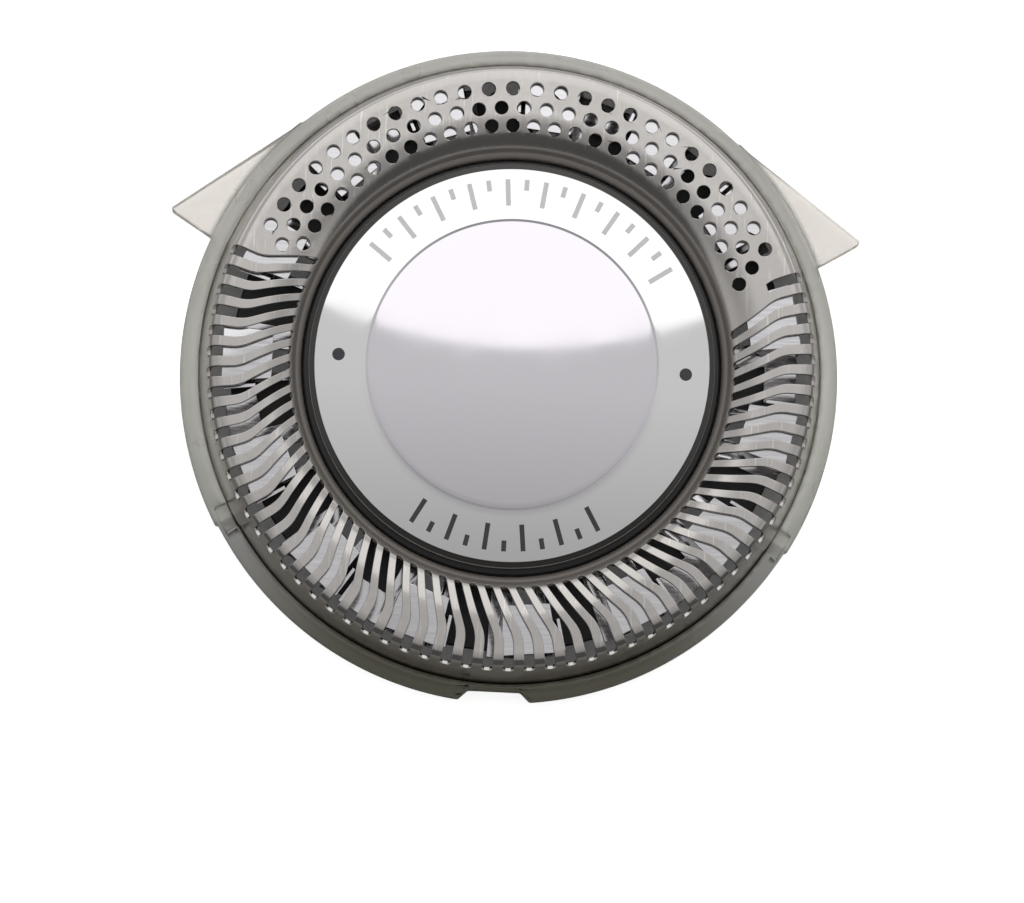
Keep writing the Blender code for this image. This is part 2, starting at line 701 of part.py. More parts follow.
def lifter_outline():
    points = []
    for i in range(BLADE_COUNT):
        root = FIRST_BLADE + i * BLADE_PITCH
        points.append(polar(LIFTER_RADIUS, root + LIFTER_ARM_START))
        points += arc(BLADE_OUTER, root + LIFTER_ARM_START, root + LIFTER_ARM_END, 1)
        points += arc(LIFTER_RADIUS, root + LIFTER_ARM_END, root + BLADE_PITCH + LIFTER_ARM_START, 3)[:-1]
    return points


def tongue_sections(root):
    """A tongue from inside its spring arm up past the end of the blade's land."""
    middle = (LIFTER_ARM_START + LIFTER_ARM_END) / 2
    half = math.degrees(LIFTER_SHEET / 2 / FOOT_INNER)
    outer = BLADE_OUTER - PRESS_GAP
    top = BLADE_TOP - LIFTER_TIP_DROP - LIFTER_SEAT
    sections = []
    for angle, z in ((root + middle, LIFTER_SHEET / 3), (root + LIFTER_TIP_ANGLE, top)):
        corners = [(FOOT_INNER, -half), (outer, -half), (outer, half), (FOOT_INNER, half)]
        sections.append([(*polar(radius, angle + turn), z) for radius, turn in corners])
    return sections


def lifter_ring(parts, tools):
    lifter = extruded(
        "lifter_ring", [lifter_outline(), bore_outline()], 0, LIFTER_SHEET, parts, LIFTER_SEAT
    )
    tongues = [tongue_sections(FIRST_BLADE + i * BLADE_PITCH) for i in range(BLADE_COUNT)]
    combine(lifter, lofted("lifter_tongues", tongues, tools, LIFTER_SEAT), "UNION")
    return lifter


def lifter_clamp(parts):
    profile = [
        (CLAMP_RADIUS, CLAMP_THICKNESS),
        (CLAMP_RADIUS, 0),
        (NECK_BORE, 0),
        (NECK_BORE, CLAMP_THICKNESS),
    ]
    return turned("lifter_clamp", profile, HUB_STEPS, parts, CLAMP_SEAT, closed=True)


def build():
    clear_scene()
    parts = new_collection("rotary_shaver_head")
    tools = new_collection("cutters")
    smoothing = smooth_by_angle(math.radians(32))
    head = bpy.data.objects.new("head", None)
    cutter = bpy.data.objects.new("cutter", None)
    for empty in (head, cutter):
        parts.objects.link(empty)
    cutter.parent = head

    frame_plastic = new_material("pale translucent plastic", (0.62, 0.63, 0.6), 0.4, transmission=0.5)
    guard_steel = new_material("satin guard steel", (0.72, 0.69, 0.66), 0.3, metallic=1.0)
    polished_steel = new_material("polished cap steel", (0.86, 0.85, 0.86), 0.06, metallic=1.0)
    blade_steel = new_material("ground blade steel", (0.7, 0.7, 0.71), 0.22, metallic=1.0)
    black_plastic = new_material("black plastic", (0.02, 0.02, 0.022), 0.45)

    finish(retaining_frame(parts, tools), frame_plastic, smoothing, head)
    finish(shaving_guard(parts, tools), guard_steel, smoothing, head)
    finish(cap_carrier(parts), black_plastic, smoothing, head)
    finish(cap_plate(parts), polished_steel, smoothing, head)
    finish(cutter_hub(parts, tools), black_plastic, smoothing, cutter)
    finish(cutter_blades(parts, tools), blade_steel, smoothing, cutter)
    finish(lifter_ring(parts, tools), blade_steel, smoothing, cutter)
    finish(lifter_clamp(parts), black_plastic, smoothing, cutter)


build()
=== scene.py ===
import math

import bmesh
import bpy
from mathutils import Matrix, Vector


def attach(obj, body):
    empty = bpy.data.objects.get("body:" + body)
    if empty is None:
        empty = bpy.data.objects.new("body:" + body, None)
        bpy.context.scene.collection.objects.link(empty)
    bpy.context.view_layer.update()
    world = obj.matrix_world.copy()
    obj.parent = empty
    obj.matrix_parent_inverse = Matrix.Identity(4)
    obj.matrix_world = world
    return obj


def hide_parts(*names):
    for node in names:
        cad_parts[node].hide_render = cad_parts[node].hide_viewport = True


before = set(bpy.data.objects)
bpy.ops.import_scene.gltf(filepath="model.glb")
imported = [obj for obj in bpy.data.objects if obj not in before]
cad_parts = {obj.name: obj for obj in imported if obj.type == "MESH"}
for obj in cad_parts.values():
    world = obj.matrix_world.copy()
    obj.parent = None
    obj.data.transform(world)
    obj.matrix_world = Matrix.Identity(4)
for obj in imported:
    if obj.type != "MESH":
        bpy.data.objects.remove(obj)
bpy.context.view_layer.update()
mm = 0.001
weldDistance = 1e-7  # metres between points that are one
overshoot = 0.3  # mm by which a cutting body stands out past what it cuts
noiseSpan = (0.3, 0.7)  # nearly all of a noise texture lies between them
smooth = {"interpolation_type": "SMOOTHSTEP"}  # makes a Map Range ease in and out
scene = bpy.context.scene
scene.view_settings.view_transform = "Standard"
print("frame loaded:", ", ".join(sorted(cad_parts)))


# Small tools


def linear(hexColour):
    # sRGB hex to linear RGBA
    shares = [int(hexColour[i:i + 2], 16) / 255 for i in (1, 3, 5)]
    return [c / 12.92 if c <= 0.04045 else ((c + 0.055) / 1.055) ** 2.4 for c in shares] + [1.0]


def connect(tree, node, links):
    # Gives input sockets, by name or in order, a value, or the node or socket that feeds them
    for socket, value in links.items() if isinstance(links, dict) else enumerate(links):
        if isinstance(value, bpy.types.Node):
            value = next(output for output in value.outputs if output.enabled)
        if isinstance(value, bpy.types.NodeSocket):
            tree.links.new(value, node.inputs[socket])
        else:
            node.inputs[socket].default_value = value


def addNode(tree, kind, links=(), **settings):
    node = tree.nodes.new(kind)
    for name, value in settings.items():
        setattr(node, name, value)
    connect(tree, node, links)
    return node


def polar(radius, degrees):
    turn = math.radians(degrees)
    return Vector((radius * math.cos(turn), radius * math.sin(turn)))


def arc(radius, start, end, steps):
    return [tuple(polar(radius, start + (end - start) * i / steps)) for i in range(steps + 1)]


def filleted(corners, steps=5):
    # A profile's corners (radius, height, fillet) in mm, each fillet drawn as an arc
    points = []
    last = len(corners) - 1
    for i, (r, z, *fillet) in enumerate(corners):
        if not fillet or i in (0, last):
            points.append((r, z))
            continue
        corner = Vector((r, z))
        back = (Vector(corners[i - 1][:2]) - corner).normalized()
        ahead = (Vector(corners[i + 1][:2]) - corner).normalized()
        half = back.angle(ahead) / 2
        centre = corner + (back + ahead).normalized() * fillet[0] / math.sin(half)
        first = corner + back * fillet[0] / math.tan(half) - centre
        final = corner + ahead * fillet[0] / math.tan(half) - centre
        for k in range(steps + 1):
            spoke = first.lerp(final, k / steps).normalized() * fillet[0]
            points.append(tuple(centre + spoke))
    return points


def newObject(name, mesh):
    obj = bpy.data.objects.new(name, mesh)
    scene.collection.objects.link(obj)
    return obj


def meshFrom(name, bm):
    bmesh.ops.remove_doubles(bm, verts=bm.verts, dist=weldDistance)
    bmesh.ops.recalc_face_normals(bm, faces=bm.faces)
    mesh = bpy.data.meshes.new(name)
    bm.to_mesh(mesh)
    bm.free()
    return mesh


def joined(name, meshes):
    bm = bmesh.new()
    for mesh in meshes:
        bm.from_mesh(mesh)
    return meshFrom(name, bm)


def sectionsAt(bm, section, turns):
    # The points of a (radius, height) section in mm at each of the angles
    return [[bm.verts.new((*polar(r * mm, turn), z * mm)) for r, z in section] for turn in turns]


def bridge(bm, sections, closed=False):
    # Faces between each section and the next; a closed one runs on from its last point to its first
    for section, following in zip(sections, sections[1:]):
        for j in range(len(section) if closed else len(section) - 1):
            k = (j + 1) % len(section)
            bm.faces.new((section[j], section[k], following[k], following[j]))


def turned(name, profile, steps):
    # Revolves a profile once round Z; its points on the axis are poles
    bm = bmesh.new()
    sections = sectionsAt(bm, profile, [360 * i / steps for i in range(steps)])
    bridge(bm, sections + sections[:1])
    return meshFrom(name, bm)


def closedSector(name, section, start, end, steps):
    # A closed section swept round the axis between two angles
    bm = bmesh.new()
    sections = sectionsAt(bm, section, [start + (end - start) * i / steps for i in range(steps + 1)])
    bridge(bm, sections, closed=True)
    bm.faces.new(sections[0])
    bm.faces.new(sections[-1])
    return meshFrom(name, bm)


def plate(name, outline, low, high):
    # A flat outline in mm, given its thickness between two heights
    bm = bmesh.new()
    face = bm.faces.new([bm.verts.new((x * mm, y * mm, low * mm)) for x, y in outline])
    top = bmesh.ops.extrude_face_region(bm, geom=[face])["geom"]
    raised = [v for v in top if isinstance(v, bmesh.types.BMVert)]
    bmesh.ops.translate(bm, verts=raised, vec=(0, 0, (high - low) * mm))
    return meshFrom(name, bm)


def modified(obj, kind, **settings):
    modifier = obj.modifiers.new(kind.title(), kind)
    for name, value in settings.items():
        setattr(modifier, name, value)


def evaluated(obj, name=None):
    # The object's mesh with its modifiers applied, as a new plain object
    name = name or obj.name
    graph = bpy.context.evaluated_depsgraph_get()
    mesh = bpy.data.meshes.new_from_object(obj.evaluated_get(graph))
    bpy.data.objects.remove(obj)
    return newObject(name, mesh)


def cut(obj, mesh, operation="DIFFERENCE"):
    # Joins or takes away another closed mesh at once
    tool = newObject("tool", mesh)
    modified(obj, "BOOLEAN", object=tool, operation=operation, solver="MANIFOLD")
    made = evaluated(obj)
    bpy.data.objects.remove(tool)
    return made


def bevelled(obj, width, degrees=50):
    modified(
        obj, "BEVEL", width=width * mm, segments=2, limit_method="ANGLE",
        angle_limit=math.radians(degrees), use_clamp_overlap=False, harden_normals=True,
    )
    return evaluated(obj)


def smoothed(obj, degrees=38):
    obj.data.shade_smooth()
    obj.data.set_sharp_from_angle(angle=math.radians(degrees))
    return obj


def levelled(obj):
    # The large faces lead the shading, so that flats stay flat round cuts
    modified(obj, "WEIGHTED_NORMAL", weight=80, keep_sharp=True)
    return evaluated(obj)


def placed(obj, material, body, slot, *nodes):
    # The last step for every piece: its finish, its body and the solids that it stands for
    obj.data.materials.clear()
    obj.data.materials.append(material)
    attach(obj, body)
    if nodes:
        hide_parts(*nodes)
    return obj


def buildRingTree():
    # Copies of one cell round the axis, such as slots, holes, ticks, ribs and windows
    tree = bpy.data.node_groups.new("ringOfCopies", "GeometryNodeTree")
    sockets = [("Cell", "INPUT", "NodeSocketGeometry"), ("Count", "INPUT", "NodeSocketInt")]
    sockets += [(name, "INPUT", "NodeSocketFloat") for name in ("First Angle", "Pitch", "Weld")]
    sockets += [("Material", "INPUT", "NodeSocketMaterial"), ("Ring", "OUTPUT", "NodeSocketGeometry")]
    for name, side, kind in sockets:
        tree.interface.new_socket(name, in_out=side, socket_type=kind)
    given = addNode(tree, "NodeGroupInput").outputs
    points = addNode(tree, "GeometryNodePoints", {"Count": given["Count"]})
    index = addNode(tree, "GeometryNodeInputIndex")
    turn = addNode(
        tree, "ShaderNodeMath", [index, given["Pitch"], given["First Angle"]], operation="MULTIPLY_ADD",
    )
    spin = addNode(tree, "ShaderNodeCombineXYZ", {"Z": turn})
    copies = addNode(
        tree, "GeometryNodeInstanceOnPoints",
        {"Points": points, "Instance": given["Cell"], "Rotation": spin},
    )
    real = addNode(tree, "GeometryNodeRealizeInstances", [copies])
    weld = addNode(tree, "GeometryNodeMergeByDistance", {"Geometry": real, "Distance": given["Weld"]})
    finish = addNode(tree, "GeometryNodeSetMaterial", {"Geometry": weld, "Material": given["Material"]})
    addNode(tree, "NodeGroupOutput", [finish])
    return tree


ringTree = buildRingTree()


def ringOf(name, cell, count, firstAngle, pitch, material=None):
    # One mesh of count copies of the cell's mesh, turned round the axis; angles in degrees
    obj = newObject(name, cell)
    modifier = obj.modifiers.new("Ring", "NODES")
    modifier.node_group = ringTree
    values = {
        "Count": count, "First Angle": math.radians(firstAngle), "Pitch": math.radians(pitch),
        "Weld": weldDistance,
    }
    if material:
        values["Material"] = material
    for item in ringTree.interface.items_tree:
        if item.name in values:
            modifier[item.identifier] = values[item.name]
    ring = evaluated(obj)
    mesh = ring.data
    bpy.data.objects.remove(ring)
    return mesh


# Camera, at the photograph's viewing angle

cameraSet = {
    "azimuth": -14.7,  # degrees round from the side opposite the wings
    "elevation": 84.2,
    "roll": 17.45,  # turns the picture so that the wings stand as in the photograph
    "distance": 250.0,  # mm
    "pixelsPerMm": 24.26,  # at the track's height
    "centre": (512.2, 365.0),  # where the track's centre is seen, in pixels
    "trackHeight": 5.2,
    "picture": (1024, 903),
    "sensor": 36,
    "clip": (0.005, 20),  # metres
}


def makeCamera(c):
    width, height = c["picture"]
    a, e, roll = (math.radians(c[key]) for key in ("azimuth", "elevation", "roll"))
    back = Vector((math.sin(a) * math.cos(e), -math.cos(a) * math.cos(e), math.sin(e)))
    level = Vector((math.cos(a), math.sin(a), 0))
    upright = back.cross(level)
    right = level * math.cos(roll) + upright * math.sin(roll)
    up = upright * math.cos(roll) - level * math.sin(roll)
    aside = (c["centre"][0] - width / 2) / c["pixelsPerMm"]
    below = (c["centre"][1] - height / 2) / c["pixelsPerMm"]
    aim = Vector((0, 0, c["trackHeight"])) - right * aside + up * below
    camera = bpy.data.objects.new("camera", bpy.data.cameras.new("camera"))
    scene.collection.objects.link(camera)
    camera.data.sensor_width = c["sensor"]
    camera.data.lens = c["sensor"] * c["distance"] * c["pixelsPerMm"] / width
    camera.data.clip_start, camera.data.clip_end = c["clip"]
    turn = Matrix((right, up, back)).transposed().to_4x4()
    camera.matrix_world = Matrix.Translation((aim + back * c["distance"]) * mm) @ turn
    scene.camera = camera


makeCamera(cameraSet)
print("camera placed")


# Materials. Their gloss is a range of roughness, and their bump a strength and a height in mm


def newMaterial(name):
    material = bpy.data.materials.new(name)
    material.use_nodes = True
    tree = material.node_tree
    place = addNode(tree, "ShaderNodeTexCoord").outputs["Object"]
    return material, tree, tree.nodes["Principled BSDF"], place


def fromAxis(tree, place):
    # Distance from the axis, in metres, and the place's own parts
    parts = addNode(tree, "ShaderNodeSeparateXYZ", [place]).outputs
    flat = addNode(tree, "ShaderNodeCombineXYZ", [parts["X"], parts["Y"]])
    return addNode(tree, "ShaderNodeVectorMath", [flat], operation="LENGTH"), parts


capFinish = {
    "disc": "#eae6ec",  # inside the turned ring, a trace of lilac
    "border": "#f0f0f0",
    # rim: painted shade, a dark band on the rim standing in for the shadowed groove round the cap
    "rim": "#454340",
    "ringRadius": 6.0,
    "ringBlur": 0.02,  # mm either side of the ring, over which the finish changes
    "rimRadius": 8.15,
    "shadeEndRadius": 8.37,  # outside it the painted shade stops and the bare metal corner shows
    "rimShadeBlur": 0.01,
    "rimShadeFinish": (0.2, 0.25),  # the metallic of the rim's painted shade, and the roughness that it adds
    "haze": 2.8,  # mm between the clouds that buffing leaves
    "gloss": (0.04, 0.075),
    "wave": 6.25,  # mm, the sheet's last unevenness
    "bump": (0.12, 0.004),
}


def polishedCapSteel(f):
    # Stainless sheet, stamped and buffed: a mirror, with a faint haze, and painted shade on the rim, a dark
    # band for the shadowed groove round the cap
    material, tree, shader, place = newMaterial("stainless steel, mirror buffed")
    away, _ = fromAxis(tree, place)
    inside, outside = ((f["ringRadius"] + side * f["ringBlur"]) * mm for side in (-1, 1))
    border = addNode(tree, "ShaderNodeMapRange", [away, inside, outside, 0, 1])
    face = addNode(
        tree, "ShaderNodeMix", {"Factor": border, "A": linear(f["disc"]), "B": linear(f["border"])},
        data_type="RGBA",
    )
    # Painted shade: the rim is coloured dark between these radii, out to the bare metal corner
    inside, outside = ((f["rimRadius"] + side * f["rimShadeBlur"]) * mm for side in (-1, 1))
    rim = addNode(tree, "ShaderNodeMapRange", [away, inside, outside, 0, 1])
    inside, outside = ((f["shadeEndRadius"] + side * f["rimShadeBlur"]) * mm for side in (-1, 1))
    shadeBeforeEnd = addNode(tree, "ShaderNodeMapRange", [away, inside, outside, 1, 0])
    rimShadeMask = addNode(tree, "ShaderNodeMath", [rim, shadeBeforeEnd], operation="MULTIPLY")
    tint = addNode(
        tree, "ShaderNodeMix", {"Factor": rimShadeMask, "A": face, "B": linear(f["rim"])}, data_type="RGBA",
    )
    metal, roughening = f["rimShadeFinish"]
    haze = addNode(
        tree, "ShaderNodeTexNoise", {"Vector": place, "Scale": 1000 / f["haze"], "Detail": 3.0},
    )
    buffed = addNode(tree, "ShaderNodeMapRange", [haze, *noiseSpan, *f["gloss"]])
    wave = addNode(
        tree, "ShaderNodeTexNoise", {"Vector": place, "Scale": 1000 / f["wave"], "Detail": 1.0},
    )
    strength, height = f["bump"]
    connect(tree, shader, {
        "Base Color": tint,
        "Metallic": addNode(tree, "ShaderNodeMapRange", [rimShadeMask, 0, 1, 1, metal]),
        "Roughness": addNode(
            tree, "ShaderNodeMath", [rimShadeMask, roughening, buffed], operation="MULTIPLY_ADD",
        ),
        "Normal": addNode(
            tree, "ShaderNodeBump", {"Height": wave, "Strength": strength, "Distance": height * mm},
        ),
    })
    return material


guardFinish = {
    "light": "#cdc9c6",
    "dark": "#b9b5b1",
    "worn": "#e2dfdc",
    "grain": 0.4,  # mm, the tumbled mottle; the real one is finer and is drawn coarse enough to show
    "cloud": 3.5,
    "scratch": 0.12,  # mm between the fine marks that the skin and the stones leave
    "scratchTurn": 0.5,  # radians between the marks and the Y axis
    "scratchDraw": 0.06,  # how much slower the pattern changes along a mark
    "scratched": (0.62, 0.72, 0, 0.5),  # the part of the pattern that shows, and how strongly
    "scratchDepth": 0.5,  # against the grain's
    "grooveShade": "#8b8580",  # painted shade in the groove round the cap, which lies in shadow
    "shadeTo": 9.0,  # mm from the axis
    "unshadedFrom": 9.3,
    "grooveShadeFinish": (0.3, 0.5),  # metallic and roughness there
    "gloss": (0.13, 0.2),
    "bump": (0.1, 0.008),
}


def satinGuardSteel(f):
    # Hardened stainless strip, stamped and tumbled: soft satin, a little warm, finely mottled and scratched,
    # with painted shade in the groove round the cap
    material, tree, shader, place = newMaterial("stainless steel, tumbled satin")
    grain = addNode(
        tree, "ShaderNodeTexNoise", {"Vector": place, "Scale": 1000 / f["grain"], "Detail": 4.0},
    )
    cloud = addNode(
        tree, "ShaderNodeTexNoise", {"Vector": place, "Scale": 1000 / f["cloud"], "Detail": 2.0},
    )
    drawn = addNode(
        tree, "ShaderNodeMapping",
        {"Vector": place, "Rotation": (0, 0, f["scratchTurn"]), "Scale": (1, f["scratchDraw"], 1)},
    )
    scratch = addNode(
        tree, "ShaderNodeTexNoise", {"Vector": drawn, "Scale": 1000 / f["scratch"], "Detail": 2.0},
    )
    metal = addNode(
        tree, "ShaderNodeMix", {"Factor": cloud, "A": linear(f["dark"]), "B": linear(f["light"])},
        data_type="RGBA",
    )
    mark = addNode(tree, "ShaderNodeMapRange", [scratch, *f["scratched"]])
    marked = addNode(
        tree, "ShaderNodeMix", {"Factor": mark, "A": metal, "B": linear(f["worn"])}, data_type="RGBA",
    )
    away, _ = fromAxis(tree, place)
    # Painted shade: darker, duller metal inward of the groove's edge, where the sheet lies in shadow
    unshaded = addNode(
        tree, "ShaderNodeMapRange", [away, f["shadeTo"] * mm, f["unshadedFrom"] * mm, 0, 1], **smooth,
    )
    tint = addNode(
        tree, "ShaderNodeMix", {"Factor": unshaded, "A": linear(f["grooveShade"]), "B": marked}, data_type="RGBA",
    )
    shadedMetal, shadedRoughness = f["grooveShadeFinish"]
    satin = addNode(tree, "ShaderNodeMapRange", [grain, *noiseSpan, *f["gloss"]])
    relief = addNode(
        tree, "ShaderNodeMath", [scratch, f["scratchDepth"], grain], operation="MULTIPLY_ADD",
    )
    strength, height = f["bump"]
    connect(tree, shader, {
        "Base Color": tint,
        "Metallic": addNode(tree, "ShaderNodeMapRange", [unshaded, 0, 1, shadedMetal, 1]),
        "Roughness": addNode(
            tree, "ShaderNodeMix", {"Factor": unshaded, "A": shadedRoughness, "B": satin}, data_type="FLOAT",
        ),
        "Normal": addNode(
            tree, "ShaderNodeBump", {"Height": relief, "Strength": strength, "Distance": height * mm},
        ),
    })
    return material


bladeFinish = {
    "light": "#e9e8ea",
    "dark": "#cfcdd0",
    "line": 0.09,  # mm between grinding lines, drawn three times as coarse as real
    "lineDraw": 0.04,  # how much slower the pattern changes along a line
    "gloss": (0.08, 0.15),
    "bump": (0.15, 0.004),
}


def groundBladeSteel(f):
    # Blade steel, ground flat: bright, with fine straight grinding lines across the star
    material, tree, shader, place = newMaterial("blade steel, ground")
    along = addNode(tree, "ShaderNodeMapping", {"Vector": place, "Scale": (f["lineDraw"], 1, 1)})
    lines = addNode(
        tree, "ShaderNodeTexNoise", {"Vector": along, "Scale": 1000 / f["line"], "Detail": 2.0},
    )
    strength, height = f["bump"]
    connect(tree, shader, {
        "Base Color": addNode(
            tree, "ShaderNodeMix", {"Factor": lines, "A": linear(f["dark"]), "B": linear(f["light"])},
            data_type="RGBA",
        ),
        "Metallic": 1.0,
        "Roughness": addNode(tree, "ShaderNodeMapRange", [lines, *noiseSpan, *f["gloss"]]),
        "Normal": addNode(
            tree, "ShaderNodeBump", {"Height": lines, "Strength": strength, "Distance": height * mm},
        ),
    })
    return material


acetalFinish = {
    "skin": "#2b2b2c",
    "bloom": "#3c3c3e",
    "cloud": 2.2,  # mm
    "spark": 0.12,  # mm, the eroded grain of the mould
    "ior": 1.48,
    "gloss": (0.34, 0.46),
    "bump": (0.25, 0.01),
}


def blackAcetal(f):
    # Acetal, moulded: near black with a soft waxy sheen and the fine grain of an eroded mould
    material, tree, shader, place = newMaterial("acetal, moulded black")
    cloud = addNode(
        tree, "ShaderNodeTexNoise", {"Vector": place, "Scale": 1000 / f["cloud"], "Detail": 3.0},
    )
    spark = addNode(
        tree, "ShaderNodeTexNoise", {"Vector": place, "Scale": 1000 / f["spark"], "Detail": 2.0},
    )
    strength, height = f["bump"]
    connect(tree, shader, {
        "Base Color": addNode(
            tree, "ShaderNodeMix", {"Factor": cloud, "A": linear(f["skin"]), "B": linear(f["bloom"])},
            data_type="RGBA",
        ),
        "IOR": f["ior"],
        "Roughness": addNode(tree, "ShaderNodeMapRange", [cloud, *noiseSpan, *f["gloss"]]),
        "Normal": addNode(
            tree, "ShaderNodeBump", {"Height": spark, "Strength": strength, "Distance": height * mm},
        ),
    })
    return material


frameFinish = {
    "wing": "#f8f4ee",  # painted light: the wings are coloured lighter for the paper shining through them, besides their real transmission
    "wingRoot": 13.9,  # mm from the axis
    "wingBlur": 0.1,
    "pale": "#d8d6cf",  # painted shade: between the wings, darker than at the sides
    "sides": "#f8f8f0",  # painted light: level with the axis, lighter than between the wings
    "sideLightSpan": (0.6, -0.1),  # shares of the radius towards the wings
    "notchShade": "#d2d1cd",  # painted shade, just past the notches
    "deep": "#84816f",  # painted shade, darkest at the keyway
    "notchEdge": -0.497,  # the share where the painted shade starts
    "notchBlur": 0.004,
    "keywayEdge": -0.95,
    "clear": (0.42, 0.12, 0.33),  # transmission of the pale and the shaded side, and what the wings add
    "cloud": 4.0,  # mm, flow marks
    "milk": (0.96, 1.03),  # brightness of the flow marks
    "ior": 1.58,
    "gloss": (0.2, 0.32),
    "skinScale": 1800.0,  # to the metre, the mould's fine skin
    "bump": (0.06, 0.01),
}


def paleFramePlastic(f):
    # Polycarbonate, moulded translucent: milky grey and glossy, with painted light, lighter at the sides and
    # on the wings, and painted shade darkening towards the keyway
    material, tree, shader, place = newMaterial("polycarbonate, moulded translucent")
    away, parts = fromAxis(tree, place)
    towards = addNode(tree, "ShaderNodeMath", [parts["Y"], away], operation="DIVIDE")
    # Painted light: the ring is coloured lighter towards the sides, level with the axis
    sideLightShare = addNode(tree, "ShaderNodeMapRange", [towards, *f["sideLightSpan"], 0, 1], **smooth)
    lightRing = addNode(
        tree, "ShaderNodeMix", {"Factor": sideLightShare, "A": linear(f["pale"]), "B": linear(f["sides"])},
        data_type="RGBA",
    )
    # Painted light: the wings are coloured lighter, besides letting more light through
    inside, outside = ((f["wingRoot"] + side * f["wingBlur"]) * mm for side in (-1, 1))
    thin = addNode(tree, "ShaderNodeMapRange", [away, inside, outside, 0, 1], **smooth)
    lightSide = addNode(
        tree, "ShaderNodeMix", {"Factor": thin, "A": lightRing, "B": linear(f["wing"])}, data_type="RGBA",
    )
    # Painted shade: the ring darkens from the notches to the keyway, the side towards the dark part of the
    # studio
    deepening = addNode(
        tree, "ShaderNodeMapRange", [towards, f["notchEdge"], f["keywayEdge"], 0, 1], **smooth,
    )
    darkSide = addNode(
        tree, "ShaderNodeMix", {"Factor": deepening, "A": linear(f["notchShade"]), "B": linear(f["deep"])},
        data_type="RGBA",
    )
    above, beneath = (f["notchEdge"] + side * f["notchBlur"] for side in (1, -1))
    nearShade = addNode(tree, "ShaderNodeMapRange", [towards, above, beneath, 0, 1])
    tint = addNode(
        tree, "ShaderNodeMix", {"Factor": nearShade, "A": lightSide, "B": darkSide}, data_type="RGBA",
    )
    paleClear, shadedClear, wingClear = f["clear"]
    ringClear = addNode(tree, "ShaderNodeMapRange", [nearShade, 0, 1, paleClear, shadedClear])
    cloud = addNode(
        tree, "ShaderNodeTexNoise", {"Vector": place, "Scale": 1000 / f["cloud"], "Detail": 2.0},
    )
    milk = addNode(tree, "ShaderNodeMapRange", [cloud, *noiseSpan, *f["milk"]])
    fine = addNode(
        tree, "ShaderNodeTexNoise", {"Vector": place, "Scale": f["skinScale"], "Detail": 2.0},
    )
    strength, height = f["bump"]
    connect(tree, shader, {
        "Base Color": addNode(tree, "ShaderNodeHueSaturation", {"Value": milk, "Color": tint}),
        "IOR": f["ior"],
        "Transmission Weight": addNode(
            tree, "ShaderNodeMath", [thin, wingClear, ringClear], operation="MULTIPLY_ADD",
        ),
        "Roughness": addNode(tree, "ShaderNodeMapRange", [cloud, *noiseSpan, *f["gloss"]]),
        "Normal": addNode(
            tree, "ShaderNodeBump", {"Height": fine, "Strength": strength, "Distance": height * mm},
        ),
    })
    return material


inkFinish = {
    "pale": ("#eeedee", "#f7f6f7"),
    "dark": ("#3b3a40", "#4a4950"),
    "coatScale": 2200.0,  # to the metre, the coat's unevenness
    "roughness": 0.5,
}


def screenInk(name, f, shades):
    # Screen-printed ink: matt, thin, with a slightly uneven coat
    material, tree, shader, place = newMaterial(name)
    coat = addNode(
        tree, "ShaderNodeTexNoise", {"Vector": place, "Scale": f["coatScale"], "Detail": 2.0},
    )
    full, faded = (linear(shade) for shade in shades)
    tint = addNode(tree, "ShaderNodeMix", {"Factor": coat, "A": full, "B": faded}, data_type="RGBA")
    connect(tree, shader, {"Base Color": tint, "Roughness": f["roughness"]})
    return material


# Guard: one drawn sheet, with slots, perforations, track, shoulder and cup

guard = {
    "sheet": 0.18,  # nearer the real foil than the solid's 0.3, with the same outer skin
    "holeRadius": 3.0,  # of the cup's floor, for the cap carrier
    "cupFloor": 3.9,
    "cupFillet": 0.12,
    "cupRadius": 8.7,
    "cupLip": 0.2,  # its rounding
    "ledge": 4.55,
    "toe": 0.05,  # the turn from the ledge into the shoulder
    "foot": 8.98,  # of the shoulder
    "trackInner": 10.4,
    "top": 5.2,
    "rimRadius": 12.5,
    "corner": 0.4,
    "wallFoot": 2.18,  # below it the wall is upright
    "seat": 1.0,
    "radius": 12.95,
    "flange": 0.1,
    "flangeFillet": 0.08,
    "flangeRise": 0.3,  # from the flange to the last row of the wall
    "slotSpan": 1.95,  # degrees, so that slots and lamellae narrow together towards the axis
    "slotPitch": 4.0,
    "slotCount": 56,
    "firstSlot": -200.0,
    "shortInner": 11.0,  # radius where the last slot ends
    "lean": 5.85,  # degrees that a slot leans over between its bend and the shoulder's foot
    "bend": 11.2,  # radius outside which the slots are radial
    "bendEase": 0.35,
    "slotStart": 155.0,  # round the shoulder's ellipse, in degrees
    "slotEnd": 4.2,
    "endLength": 0.12,  # over which a slot narrows to its rounded end
    "endDraw": 0.5,  # how far it narrows there
    "toeSteps": (175, 165),  # round the ellipse, in degrees, before the slots start
    "shoulderSteps": (148, 140, 130, 120, 110, 100, 90),
    "trackSteps": 8,
    "cornerSteps": 6,
    "wallSteps": (2, 1.5, 1, 0.5),  # mm above the flange
    "edge": 0.03,  # rounding of the slots' and holes' edges
    "plainColumns": 90,
    "holeRows": ((11.53, 27.5, 26), (10.72, 25.0, 27), (9.98, 22.5, 27)),  # radius, first angle, count
    "holePitch": 5.0,
    "perforation": 0.275,  # radius
    "punchDepth": 1.6,
    "punchSides": 28,
}


def ellipsePoint(g, degrees):
    # A point of the shoulder, which is a quarter of an ellipse from its foot up to the track
    t = math.radians(degrees)
    wide, tall = g["trackInner"] - g["foot"], g["top"] - g["ledge"]
    return g["trackInner"] + wide * math.cos(t), g["ledge"] + tall * math.sin(t)


